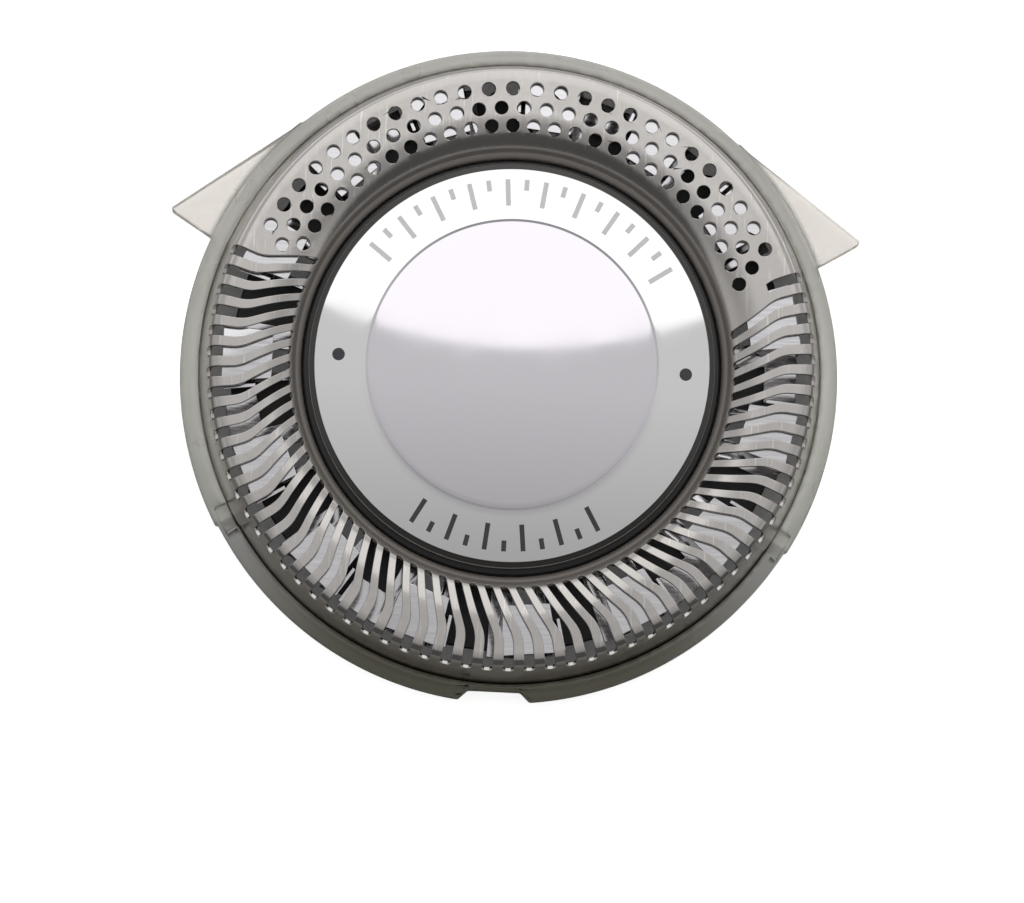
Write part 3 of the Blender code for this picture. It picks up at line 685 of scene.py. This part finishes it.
def wallRadius(g, z):
    # The wall spreads from the rim to the frame's bore, and stands upright in the bore
    top = g["top"] - g["corner"]
    share = min(1, (top - z) / (top - g["wallFoot"]))
    return g["rimRadius"] + (g["radius"] - g["rimRadius"]) * share


def leanAt(g, radius):
    # Degrees of lean at a radius: none outside the bend, even inside it, with a soft turn between
    rate = g["lean"] / (g["bend"] - g["foot"])
    past = g["bend"] - max(radius, g["foot"])
    if past > g["bendEase"]:
        return rate * past
    return rate * max(0.0, past + g["bendEase"]) ** 2 / (4 * g["bendEase"])


def guardRows(g):
    # (radius, height, slot's width there) down the sheet's outer side; no width means solid metal
    toe = g["toe"]
    corners = [(g["holeRadius"], g["cupFloor"]), (g["cupRadius"], g["cupFloor"], g["cupFillet"])]
    corners += [(g["cupRadius"], g["ledge"], g["cupLip"]), (g["foot"] - toe, g["ledge"])]
    rows = [(r, z, None) for r, z in filleted(corners, 4)]
    rows.append((g["foot"] - 0.4 * toe, g["ledge"] + 0.6 * toe, None))
    rows += [(*ellipsePoint(g, t), None) for t in g["toeSteps"]]
    rows.append((*ellipsePoint(g, g["slotStart"]), g["endDraw"]))
    rows += [(*ellipsePoint(g, t), 1) for t in g["shoulderSteps"]]
    flat = g["rimRadius"] - g["corner"]
    for k in range(1, g["trackSteps"] + 1):
        rows.append((g["trackInner"] + (flat - g["trackInner"]) * k / g["trackSteps"], g["top"], 1))
    for k in range(1, g["cornerSteps"] + 1):
        t = math.radians(90 - 90 * k / g["cornerSteps"])
        rows.append((flat + g["corner"] * math.cos(t), g["top"] - g["corner"] * (1 - math.sin(t)), 1))
    for z, width in ((g["slotEnd"] + g["endLength"], 1), (g["slotEnd"], g["endDraw"])):
        rows.append((wallRadius(g, z), z, width))
    base = g["seat"] + g["sheet"]
    rows += [(wallRadius(g, base + rise), base + rise, None) for rise in g["wallSteps"]]
    low = base + g["flangeRise"]
    flange = [(wallRadius(g, low), low), (g["radius"], base, g["flangeFillet"])]
    flange.append((g["radius"] + g["flange"], base))
    return rows + [(r, z, None) for r, z in filleted(flange, 3)]


def slotCell(name, g, rows, innerEnd=0.0):
    # The sheet's stretch round one slot, centred on angle 0, open where the slot is
    bm = bmesh.new()
    half = g["slotPitch"] / 2
    lines = []
    for r, z, width in rows:
        reach = half / 2 if width is None else g["slotSpan"] / 2 * width
        between = (half + reach) / 2
        turns = [turn - leanAt(g, r) for turn in (-half, -between, -reach, reach, between, half)]
        lines.append([bm.verts.new((*polar(r * mm, turn), z * mm)) for turn in turns])
    for i in range(len(rows) - 1):
        isOpen = rows[i][2] and rows[i + 1][2] and rows[i][0] > innerEnd
        for j in range(5):
            if j == 2 and isOpen:
                continue
            bm.faces.new((lines[i][j], lines[i + 1][j], lines[i + 1][j + 1], lines[i][j + 1]))
    return meshFrom(name, bm)


def plainSector(name, g, rows, start, end):
    # The sheet without slots between two angles, following the slots' lean at both ends
    bm = bmesh.new()
    columns = g["plainColumns"]
    lines = []
    for i in range(columns + 1):
        turn = start + (end - start) * i / columns
        share = abs(2 * i / columns - 1) ** 3
        lines.append([
            bm.verts.new((*polar(r * mm, turn - leanAt(g, r) * share), z * mm)) for r, z, _ in rows
        ])
    bridge(bm, lines)
    return meshFrom(name, bm)


def holeCutters(g):
    meshes = []
    size = g["perforation"] * mm
    middle = (g["top"] - g["sheet"] / 2) * mm
    for i, (radius, first, count) in enumerate(g["holeRows"]):
        bm = bmesh.new()
        bmesh.ops.create_cone(
            bm, cap_ends=True, segments=g["punchSides"], radius1=size, radius2=size,
            depth=g["punchDepth"] * mm,
        )
        bmesh.ops.translate(bm, verts=bm.verts, vec=(radius * mm, 0, middle))
        cell = meshFrom("holeCell", bm)
        meshes.append(ringOf(f"holeRow{i}", cell, count, first, g["holePitch"]))
    return joined("holeCutters", meshes)


def shavingGuard(g, material):
    rows = guardRows(g)
    first, pitch, count = g["firstSlot"], g["slotPitch"], g["slotCount"] - 1
    last = first + count * pitch
    slots = ringOf("slots", slotCell("slotCell", g, rows), count, first, pitch)
    short = ringOf("shortSlot", slotCell("shortCell", g, rows, g["shortInner"]), 1, last, pitch)
    plain = plainSector("perforated", g, rows, last + pitch / 2, first + 360 - pitch / 2)
    sheet = newObject("guardSheet", joined("guardSheet", [slots, short, plain]))
    modified(sheet, "SOLIDIFY", thickness=g["sheet"] * mm, offset=-1, use_even_offset=True)
    solid = cut(evaluated(sheet, "shavingGuard"), holeCutters(g))
    piece = bevelled(smoothed(solid), g["edge"])
    return placed(piece, material, "head", "guard_steel", "shaving_guard")


guardPiece = shavingGuard(guard, satinGuardSteel(guardFinish))
print("guard made:", len(guardPiece.data.polygons), "faces")


# Cap: a polished plate, slightly domed, with a turned ring, and plain marks printed round it

cap = {
    "radius": 8.4,
    "seat": 4.3,
    "rim": 0.9,
    "sheet": 0.25,
    "faceRadius": 8.14,
    "domeRadius": 100.0,
    "domeSteps": 40,
    "ring": 6.0,  # radius of the turned line on its face
    "groove": 0.05,
    "grooveClear": 0.08,  # no other point of the dome lies so near the line
    "fold": 0.06,  # the rim's first slope, outwards and down
    "corner": (0.04, 0.12),  # where the slope steepens, in from the edge and down from the face
    "bevel": 0.24,
    "edge": 0.08,
    "fineEdge": 0.03,
    "sharpAngle": 30,
    "steps": 320,
}


def domeHeight(c, radius):
    return c["seat"] + c["rim"] + (c["faceRadius"] ** 2 - radius ** 2) / (2 * c["domeRadius"])


def capProfile(c):
    radii = [c["faceRadius"] * k / c["domeSteps"] for k in range(c["domeSteps"] + 1)]
    face = [(r, domeHeight(c, r)) for r in radii]
    ring, deep, clear = c["ring"], c["groove"], c["grooveClear"]
    level = domeHeight(c, ring)
    line = [(ring - deep, level), (ring, level - deep), (ring + deep, level)]
    face = [p for p in face if p[0] < ring - clear] + line + [p for p in face if p[0] > ring + clear]
    z = c["seat"] + c["rim"]
    inner = c["radius"] - c["sheet"]
    back, down = c["corner"]
    edge = [face[-1], (c["faceRadius"] + c["fold"], z - c["fold"], c["fineEdge"])]
    edge += [(c["radius"] - back, z - down, c["edge"]), (c["radius"], z - c["bevel"], c["edge"])]
    edge += [(c["radius"], c["seat"], c["fineEdge"]), (inner, c["seat"])]
    under = [(inner, z - c["sheet"]), (0, domeHeight(c, 0) - c["sheet"])]
    return face + filleted(edge, 3)[1:] + under


def capPlate(c, material):
    body = newObject("capPlate", turned("capPlate", capProfile(c), c["steps"]))
    return placed(smoothed(body, c["sharpAngle"]), material, "head", "polished_steel", "cap_plate")


marks = {
    "inner": 6.62,
    "outer": 7.72,
    "short": 0.45,  # length of the ticks between the long ones
    "width": 0.2,
    "ink": 0.012,
    "pitch": 6.0,
    "pale": (34.0, 10),  # first angle of the long ticks, and how many
    "dark": (240.0, 6),
    "dots": (-0.4, 179.3),
    "dotRadius": 0.26,
    "dotSides": 28,
}


def onDome(mesh, c):
    # Lifts a flat mark on to the cap's domed face
    for v in mesh.vertices:
        v.co.z += domeHeight(c, v.co.xy.length / mm) * mm
    return mesh


def tickCell(name, m, c, length):
    half, outer = m["width"] / 2, m["outer"]
    start = outer - length
    outline = [(start, -half), (outer, -half), (outer, half), (start, half)]
    return onDome(plate(name, outline, 0, m["ink"]), c)


def printedTicks(name, m, c, row, material, slot):
    start, count = row
    pitch = m["pitch"]
    long = tickCell("longTick", m, c, m["outer"] - m["inner"])
    short = tickCell("shortTick", m, c, m["short"])
    rings = [ringOf(name + "Long", long, count, start, 2 * pitch, material)]
    rings.append(ringOf(name + "Short", short, count - 1, start + pitch, 2 * pitch, material))
    return placed(newObject(name, joined(name, rings)), material, "head", slot)


def printedDots(m, c, material):
    middle = (m["inner"] + m["outer"]) / 2
    outline = [(middle + x, y) for x, y in arc(m["dotRadius"], 0, 360, m["dotSides"])[:-1]]
    first, second = m["dots"]
    cell = onDome(plate("dot", outline, 0, m["ink"]), c)
    ring = ringOf("markDots", cell, 2, first, second - first, material)
    return placed(newObject("markDots", ring), material, "head", "black_plastic")


capPlate(cap, polishedCapSteel(capFinish))
greyInk = screenInk("screen ink, pale grey", inkFinish, inkFinish["pale"])
darkInk = screenInk("screen ink, dark grey", inkFinish, inkFinish["dark"])
printedTicks("paleTicks", marks, cap, marks["pale"], greyInk, "polished_steel")
printedTicks("darkTicks", marks, cap, marks["dark"], darkInk, "black_plastic")
printedDots(marks, cap, darkInk)
print("cap made, with plain marks")


# Carrier: a black moulding under the cap, seen as a thin dark ring round it

carrier = {
    "seat": 3.95,
    "flangeRadius": 8.66,
    "flangeTop": 4.25,
    "flangeEdge": 0.12,
    "underEdge": 0.04,
    "bodyRadius": 8.1,
    "bodyTop": 4.9,
    "bodyEdge": 0.05,
    "neckRadius": 2.95,
    "neckEnd": 3.55,
    "collarReach": 0.18,
    "collarEdge": 0.03,
    "foot": 3.35,
    "pinRadius": 1.42,
    "pinEnd": 2.4,
    "pinEdge": 0.08,
    "steps": 256,
}


def capCarrier(c, material):
    body, flange, neck, pin = (c[key] for key in ("bodyRadius", "flangeRadius", "neckRadius", "pinRadius"))
    corners = [
        (0, c["bodyTop"]), (body, c["bodyTop"], c["bodyEdge"]), (body, c["flangeTop"], c["bodyEdge"]),
        (flange, c["flangeTop"], c["flangeEdge"]), (flange, c["seat"], c["underEdge"]),
        (neck, c["seat"]), (neck, c["neckEnd"]),
        (neck + c["collarReach"], c["neckEnd"], c["collarEdge"]), (neck, c["foot"], c["collarEdge"]),
        (pin, c["foot"]), (pin, c["pinEnd"], c["pinEdge"]), (0, c["pinEnd"]),
    ]
    piece = smoothed(newObject("capCarrier", turned("capCarrier", filleted(corners), c["steps"])))
    return placed(piece, material, "head", "black_plastic", "cap_carrier")


# Hub: the moulded disc that carries the blades, with hair windows, ribs and the drive's socket

hub = {
    "base": 0.3,
    "baseEdge": 0.1,
    "bossRadius": 4.2,
    "bossFillet": 0.25,
    "neckRadius": 2.6,
    "top": 3.27,
    "deckTop": 2.42,
    "deckThickness": 0.45,
    "deckRadius": 11.65,
    "deckEdge": 0.08,
    "bearingRadius": 1.5,
    "bearingFloor": 2.27,
    "bearingFillet": 0.06,
    "socketTop": 1.75,
    "socketRadius": 2.1,
    "lobes": (90, 210, 330),  # degrees, at their middles
    "lobeSpan": 40.0,
    "ribs": 5,
    "firstRib": 90,
    "ribWidth": 0.7,
    "ribHeight": 0.6,
    "ribEnd": 8.3,
    "ribRoot": (0.3, 0.2),  # how deep a rib starts in the boss, and in the deck
    "windows": 15,
    "firstWindow": 29.3,
    "windowSpan": 11.0,
    "windowInner": 8.9,
    "windowOuter": 11.3,
    "edge": 0.05,
    "edgeAngle": 60,  # degrees past which an edge is rounded
    "steps": 240,
}


def hubBody(h):
    under = h["deckTop"] - h["deckThickness"]
    corners = [
        (0, h["bearingFloor"]), (h["bearingRadius"], h["bearingFloor"], h["bearingFillet"]),
        (h["bearingRadius"], h["top"], h["deckEdge"]), (h["neckRadius"], h["top"], h["deckEdge"]),
        (h["neckRadius"], h["deckTop"]), (h["deckRadius"], h["deckTop"], h["deckEdge"]),
        (h["deckRadius"], under, h["deckEdge"]), (h["bossRadius"], under, h["bossFillet"]),
        (h["bossRadius"], h["base"], h["baseEdge"]), (0, h["base"]),
    ]
    return newObject("cutterHub", turned("cutterHub", filleted(corners), h["steps"]))


def ribCell(h):
    under = h["deckTop"] - h["deckThickness"]
    half = h["ribWidth"] / 2
    inward, upward = h["ribRoot"]
    start = h["bossRadius"] - inward
    outline = [(start, -half), (h["ribEnd"], -half), (h["ribEnd"], half), (start, half)]
    return plate("rib", outline, under - h["ribHeight"], under + upward)


def windowCell(h):
    span = h["windowSpan"]
    outline = arc(h["windowInner"], span, 0, 3) + arc(h["windowOuter"], 0, span, 3)
    under = h["deckTop"] - h["deckThickness"]
    return plate("window", outline, under - overshoot, h["deckTop"] + overshoot)


def socketOutline(h):
    points = []
    for middle in h["lobes"]:
        start = middle - h["lobeSpan"] / 2
        points += arc(h["socketRadius"], start, start + h["lobeSpan"], 8)
    return points


def cutterHub(h, material):
    ribs = ringOf("ribs", ribCell(h), h["ribs"], h["firstRib"], 360 / h["ribs"])
    windows = ringOf("windows", windowCell(h), h["windows"], h["firstWindow"], 360 / h["windows"])
    body = cut(hubBody(h), ribs, "UNION")
    body = cut(body, windows)
    body = cut(body, plate("socket", socketOutline(h), h["base"] - overshoot, h["socketTop"]))
    piece = smoothed(bevelled(body, h["edge"], h["edgeAngle"]))
    return placed(piece, material, "cutter", "black_plastic", "cutter_hub")


# Clamp: the ring pressed on the hub's neck

clamp = {
    "radius": 6.6,
    "bore": 2.65,
    "seat": 3.02,
    "thickness": 0.25,
    "rimEdge": 0.06,
    "boreEdge": 0.04,
    "steps": 192,
}


def lifterClamp(c, material):
    top = c["seat"] + c["thickness"]
    seam = (c["bore"] + 1, top)  # the profile starts and ends on the upper flat
    corners = [seam, (c["radius"], top, c["rimEdge"]), (c["radius"], c["seat"], c["rimEdge"])]
    corners += [(c["bore"], c["seat"], c["boreEdge"]), (c["bore"], top, c["boreEdge"]), seam]
    piece = smoothed(newObject("lifterClamp", turned("lifterClamp", filleted(corners), c["steps"])))
    return placed(piece, material, "cutter", "black_plastic", "lifter_clamp")


# Blades and lifter: stamped steel stars, with the blades' lands ground flat

star = {
    "bladeEdge": 0.03,
    "lifterEdge": 0.02,
    "edgeAngle": 35,  # degrees past which an edge is broken
    "sharpAngle": 12,  # and past which it is drawn as one
    "flatAngle": 0.5,  # below it faces are one face
}

land = {
    "firstRoot": 26.8,  # degrees
    "pitch": 24.0,
    "low": 4.4,  # every point of the blades' bent tops lies above it
    "start": 3.3,  # degrees by which the real land starts sooner than the solid's
    "inner": 9.93,  # where it ends towards the axis, flat to the end
    "chamfer": 10.6,
    "upperSide": 4.55,  # points above it are on the land's upper side
    "edgeHeight": 4.77,
}


def flattenLands(bm):
    # Widens each blade's land from the solid's towards its ramp, and flattens its inner end
    for v in bm.verts:
        if v.co.z < land["low"] * mm:
            continue
        turn = math.degrees(math.atan2(v.co.y, v.co.x))
        radius = v.co.xy.length / mm
        if (turn - land["firstRoot"]) % land["pitch"] < land["pitch"] / 2:
            turn -= land["start"]
        if radius < land["chamfer"]:
            radius = land["inner"]
            if v.co.z > land["upperSide"] * mm:
                v.co.z = max(v.co.z, land["edgeHeight"] * mm)
        v.co.xy = polar(radius * mm, turn)


def honed(name, node, edge, material, shape=None):
    # The stamped star from its solid, with its edges broken as tumbling leaves them
    bm = bmesh.new()
    bm.from_mesh(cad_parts[node].data)
    bmesh.ops.remove_doubles(bm, verts=bm.verts, dist=weldDistance)
    if shape:
        shape(bm)
    flat = math.radians(star["flatAngle"])
    bmesh.ops.dissolve_limit(bm, angle_limit=flat, verts=bm.verts, edges=bm.edges)
    piece = bevelled(newObject(name, meshFrom(name, bm)), edge, star["edgeAngle"])
    return placed(smoothed(piece, star["sharpAngle"]), material, "cutter", "blade_steel", node)


acetal = blackAcetal(acetalFinish)
bladeSteel = groundBladeSteel(bladeFinish)
capCarrier(carrier, acetal)
cutterHub(hub, acetal)
lifterClamp(clamp, acetal)
honed("cutterBlades", "cutter_blades", star["bladeEdge"], bladeSteel, flattenLands)
honed("lifterRing", "lifter_ring", star["lifterEdge"], bladeSteel)
print("cutter and carrier made")


# Frame: a moulded ring with a sloping top, two wings, two notches and a keyway

moulding = {
    "bore": 13.0,
    "relief": 13.1,
    "reliefTop": 1.35,
    "reliefEdge": 0.05,
    "radius": 13.8,
    "footEdge": 0.08,
    "height": 2.2,
    "lip": 0.1,
    "rimHeight": 0.6,
    "slopeSteps": 14,
    "lipDraw": 0.06,  # the chamfer beside the metal, which shows as a fine dark line
    "lugs": (45.0, 4),
    "lugSpan": 10.0,
    "lugLow": 0.53,
    "lugHigh": 0.95,
    "lugReach": 0.15,
    "lugRoot": 0.15,
    "nearHalf": 60.2,  # degrees either side of the keyway
    "setIn": 0.11,  # of the near side
    "notchWidth": 1.1,
    "notchDepth": 0.6,
    "notchOuter": 13.56,  # the notch stops short of the rim, which runs on round it
    "keywayWall": 13.22,
    "keywayWidth": 2.2,
    "keywayFlare": 0.6,
    "wingReach": 15.9,
    "wingAngle": 66.4,
    "wingRoot": 67.7,
    "wingTip": 0.12,
    "wingInset": (0.1, 0.12, 0.4),  # its edges start in the ring, its root deeper, its back deepest
    "wingOverlap": 3,  # degrees that its back runs on past the root
    "rootFillet": 0.3,
    "wingLow": 0.1,
    "wingHigh": 1.1,
    "edge": 0.07,
    "edgeAngle": 42,
    "steps": 300,
}


def mouldingProfile(m):
    lip = m["bore"] + m["lip"]
    wide, tall = m["radius"] - lip, m["height"] - m["rimHeight"]
    slope = []
    for k in range(2, m["slopeSteps"] + 1):
        t = math.radians(90 - 90 * k / m["slopeSteps"])
        slope.append((lip + wide * math.cos(t), m["rimHeight"] + tall * math.sin(t)))
    draw = m["lipDraw"]
    base = [slope[-1], (m["radius"], 0.0, m["footEdge"]), (m["relief"], 0.0, m["reliefEdge"])]
    base += [(m["relief"], m["reliefTop"]), (m["bore"], m["reliefTop"])]
    base += [(m["bore"], m["height"] - 2 * draw), (m["bore"] + draw, m["height"] - draw / 2)]
    return slope + filleted(base, 4)[1:] + [slope[0]]


def wingOutline(m, side):
    # The straight edge runs off the ring at a tangent to the tip, and the hook edge comes back with a fillet
    edgeInset, rootInset, backInset = m["wingInset"]
    skin = m["radius"] - edgeInset
    tangent = m["wingAngle"] - math.degrees(math.acos(skin / m["wingReach"]))
    last = m["wingRoot"] + m["wingOverlap"]
    corners = [
        tuple(polar(skin, 90 - side * tangent)),
        (*polar(m["wingReach"], 90 - side * m["wingAngle"]), m["wingTip"]),
        (*polar(skin, 90 - side * m["wingRoot"]), m["rootFillet"]),
        tuple(polar(skin - rootInset, 90 - side * last)),
    ]
    back = arc(m["radius"] - backInset, 90 - side * last, 90 - side * tangent, 12)
    return filleted(corners, 6) + back


def lugCell(m):
    # A snap lug on the bore, sloped below so that the guard's flange clicks past it
    within = m["relief"] + m["lugRoot"]
    tip = m["bore"] - m["lugReach"]
    middle = (m["lugLow"] + m["lugHigh"]) / 2
    section = [(within, m["lugLow"]), (within, m["lugHigh"]), (tip, m["lugHigh"]), (tip, middle)]
    return closedSector("lug", section, -m["lugSpan"] / 2, m["lugSpan"] / 2, 8)


def nearSideTrim(m):
    inner, outer = m["radius"] - m["setIn"], m["radius"] + overshoot
    section = [(inner, -overshoot), (outer, -overshoot), (outer, m["height"]), (inner, m["height"])]
    return closedSector("trim", section, -90 - m["nearHalf"], m["nearHalf"] - 90, 96)


def notchCutters(m):
    half = math.degrees(m["notchWidth"] / 2 / m["bore"])
    low, high = m["height"] - m["notchDepth"], m["height"] + overshoot
    inner, outer = m["bore"] - overshoot, m["notchOuter"]
    section = [(inner, low), (outer, low), (outer, high), (inner, high)]
    cell = closedSector("notch", section, -half, half, 6)
    return ringOf("notches", cell, 2, -90 - m["nearHalf"], 2 * m["nearHalf"])


def keywayCutter(m):
    half, wall = m["keywayWidth"] / 2, m["keywayWall"]
    deep = m["radius"] + overshoot - wall
    mouth = half + m["keywayFlare"] * deep / (m["radius"] - wall)
    outline = [(-half, -wall), (half, -wall), (mouth, -wall - deep), (-mouth, -wall - deep)]
    return plate("keyway", outline, -overshoot, m["height"] + overshoot)


def retainingFrame(m, material):
    body = newObject("retainingFrame", turned("retainingFrame", mouldingProfile(m), m["steps"]))
    for side in (-1, 1):
        body = cut(body, plate("wing", wingOutline(m, side), m["wingLow"], m["wingHigh"]), "UNION")
    first, count = m["lugs"]
    body = cut(body, ringOf("lugs", lugCell(m), count, first, 360 / count), "UNION")
    for tool in (nearSideTrim(m), notchCutters(m), keywayCutter(m)):
        body = cut(body, tool)
    piece = levelled(smoothed(bevelled(body, m["edge"], m["edgeAngle"])))
    return placed(piece, material, "head", "clear_plastic", "retaining_frame")


framePiece = retainingFrame(moulding, paleFramePlastic(frameFinish))
print("frame made:", len(framePiece.data.polygons), "faces")


# Floor and studio light

studio = {
    "light": (0.0194, 0.587, 0.809),  # towards the large soft light beyond the wings
    "lightEdge": 0.8775,  # cosine of half its width
    "edgeBlur": 0.0012,
    "lightBow": 0.09,  # how much its edge bends away at the sides
    "lightLevel": 1.2,
    "overhead": (0.4, 0.62),  # straight above, darker towards the keyway than towards the light
    "overheadSpan": (-0.08, 0.09),  # the spans are parts of a direction, between which one level fades
    "sides": 0.6,  # at the left and right
    "sidesSpan": (0.3, 0.7),
    "horizon": (0.45, 1.1),  # low down at the sides, and beyond the wings
    "horizonSpan": (0.0, 0.6),
    "lowSpan": (0.5, 0.25),
    "front": 0.1,  # the dark room beyond the keyway
    "frontSpan": (-0.26, -0.42),
    "paper": "#f6f6f6",
    "paperRadius": 1.2,  # metres
    "paperDrop": 0.02,  # mm below the frame's base
    "paperRoughness": 0.9,
    "mirroredPaper": "#a5a39d",  # painted reflection: the paper's colour as metal shows it towards the keyway, darker for the dark studio there
    "mirroredFar": 9.0,  # mm beyond the axis, from where metal shows it white
    "floorLift": 0.8,  # the paper's own light for the camera, which leaves a faint shadow
    "throughLift": 0.9,  # the same seen through the clear plastic
    "underHead": (12.9, 13.1),  # mm from the axis; the paper under the cutter is in the dark
    "underShare": 0.07,
}


def makeFloor(s):
    # Seamless white paper with a soft shadow, and a painted reflection: metal shows it grey towards the
    # keyway
    bm = bmesh.new()
    bmesh.ops.create_circle(bm, cap_ends=True, segments=96, radius=s["paperRadius"])
    floor = newObject("floor", meshFrom("floor", bm))
    floor.location.z = -s["paperDrop"] * mm
    material, tree, shader, place = newMaterial("paper sweep, white")
    away, parts = fromAxis(tree, place)
    path = addNode(tree, "ShaderNodeLightPath").outputs
    paper = linear(s["paper"])
    # Painted reflection: metal sees the paper darker towards the keyway
    far = addNode(tree, "ShaderNodeMapRange", [parts["Y"], 0, s["mirroredFar"] * mm, 0, 1], **smooth)
    mirrored = addNode(
        tree, "ShaderNodeMix", {"Factor": far, "A": linear(s["mirroredPaper"]), "B": paper},
        data_type="RGBA",
    )
    tint = addNode(
        tree, "ShaderNodeMix", {"Factor": path["Is Glossy Ray"], "A": paper, "B": mirrored},
        data_type="RGBA",
    )
    through = addNode(
        tree, "ShaderNodeMapRange", [path["Is Transmission Ray"], 0, 1, 0, s["throughLift"]],
    )
    lift = addNode(
        tree, "ShaderNodeMix",
        {"Factor": path["Is Camera Ray"], "A": through, "B": s["floorLift"]}, data_type="FLOAT",
    )
    inside, outside = (radius * mm for radius in s["underHead"])
    around = addNode(tree, "ShaderNodeMapRange", [away, inside, outside, s["underShare"], 1])
    connect(tree, shader, {
        "Base Color": tint,
        "Roughness": s["paperRoughness"],
        "Emission Color": (1, 1, 1, 1),
        "Emission Strength": addNode(tree, "ShaderNodeMath", [lift, around], operation="MULTIPLY"),
    })
    floor.data.materials.append(material)


def makeWorld(s):
    # A plain studio: grey overhead, one large white light beyond the wings, dark beyond the keyway
    world = bpy.data.worlds.new("studio")
    scene.world = world
    world.use_nodes = True
    tree = world.node_tree
    tree.nodes.clear()
    way = addNode(tree, "ShaderNodeTexCoord").outputs["Generated"]
    parts = addNode(tree, "ShaderNodeSeparateXYZ", [way]).outputs
    aside = addNode(tree, "ShaderNodeMath", [parts["X"]], operation="ABSOLUTE")
    overhead = addNode(tree, "ShaderNodeMapRange", [parts["Y"], *s["overheadSpan"], *s["overhead"]])
    horizon = addNode(
        tree, "ShaderNodeMapRange", [parts["Y"], *s["horizonSpan"], *s["horizon"]], **smooth,
    )
    room = overhead
    layers = [(aside, "sidesSpan", s["sides"]), (parts["Z"], "lowSpan", horizon)]
    layers.append((parts["Y"], "frontSpan", s["front"]))
    for direction, span, level in layers:
        share = addNode(tree, "ShaderNodeMapRange", [direction, *s[span], 0, 1], **smooth)
        room = addNode(
            tree, "ShaderNodeMix", {"Factor": share, "A": room, "B": level}, data_type="FLOAT",
        )
    towards = addNode(tree, "ShaderNodeVectorMath", [way, s["light"]], operation="DOT_PRODUCT")
    bow = addNode(tree, "ShaderNodeMath", [aside, aside], operation="MULTIPLY")
    bowed = addNode(
        tree, "ShaderNodeMath", [bow, -s["lightBow"], towards], operation="MULTIPLY_ADD",
    )
    outer, inner = (s["lightEdge"] + side * s["edgeBlur"] for side in (-1, 1))
    disc = addNode(tree, "ShaderNodeMapRange", [bowed, outer, inner, 0, 1])
    level = addNode(
        tree, "ShaderNodeMix", {"Factor": disc, "A": room, "B": s["lightLevel"]}, data_type="FLOAT",
    )
    light = addNode(tree, "ShaderNodeBackground", {"Color": (1, 1, 1, 1), "Strength": level})
    addNode(tree, "ShaderNodeOutputWorld", {"Surface": light})


makeFloor(studio)
makeWorld(studio)
print("stage and light set")
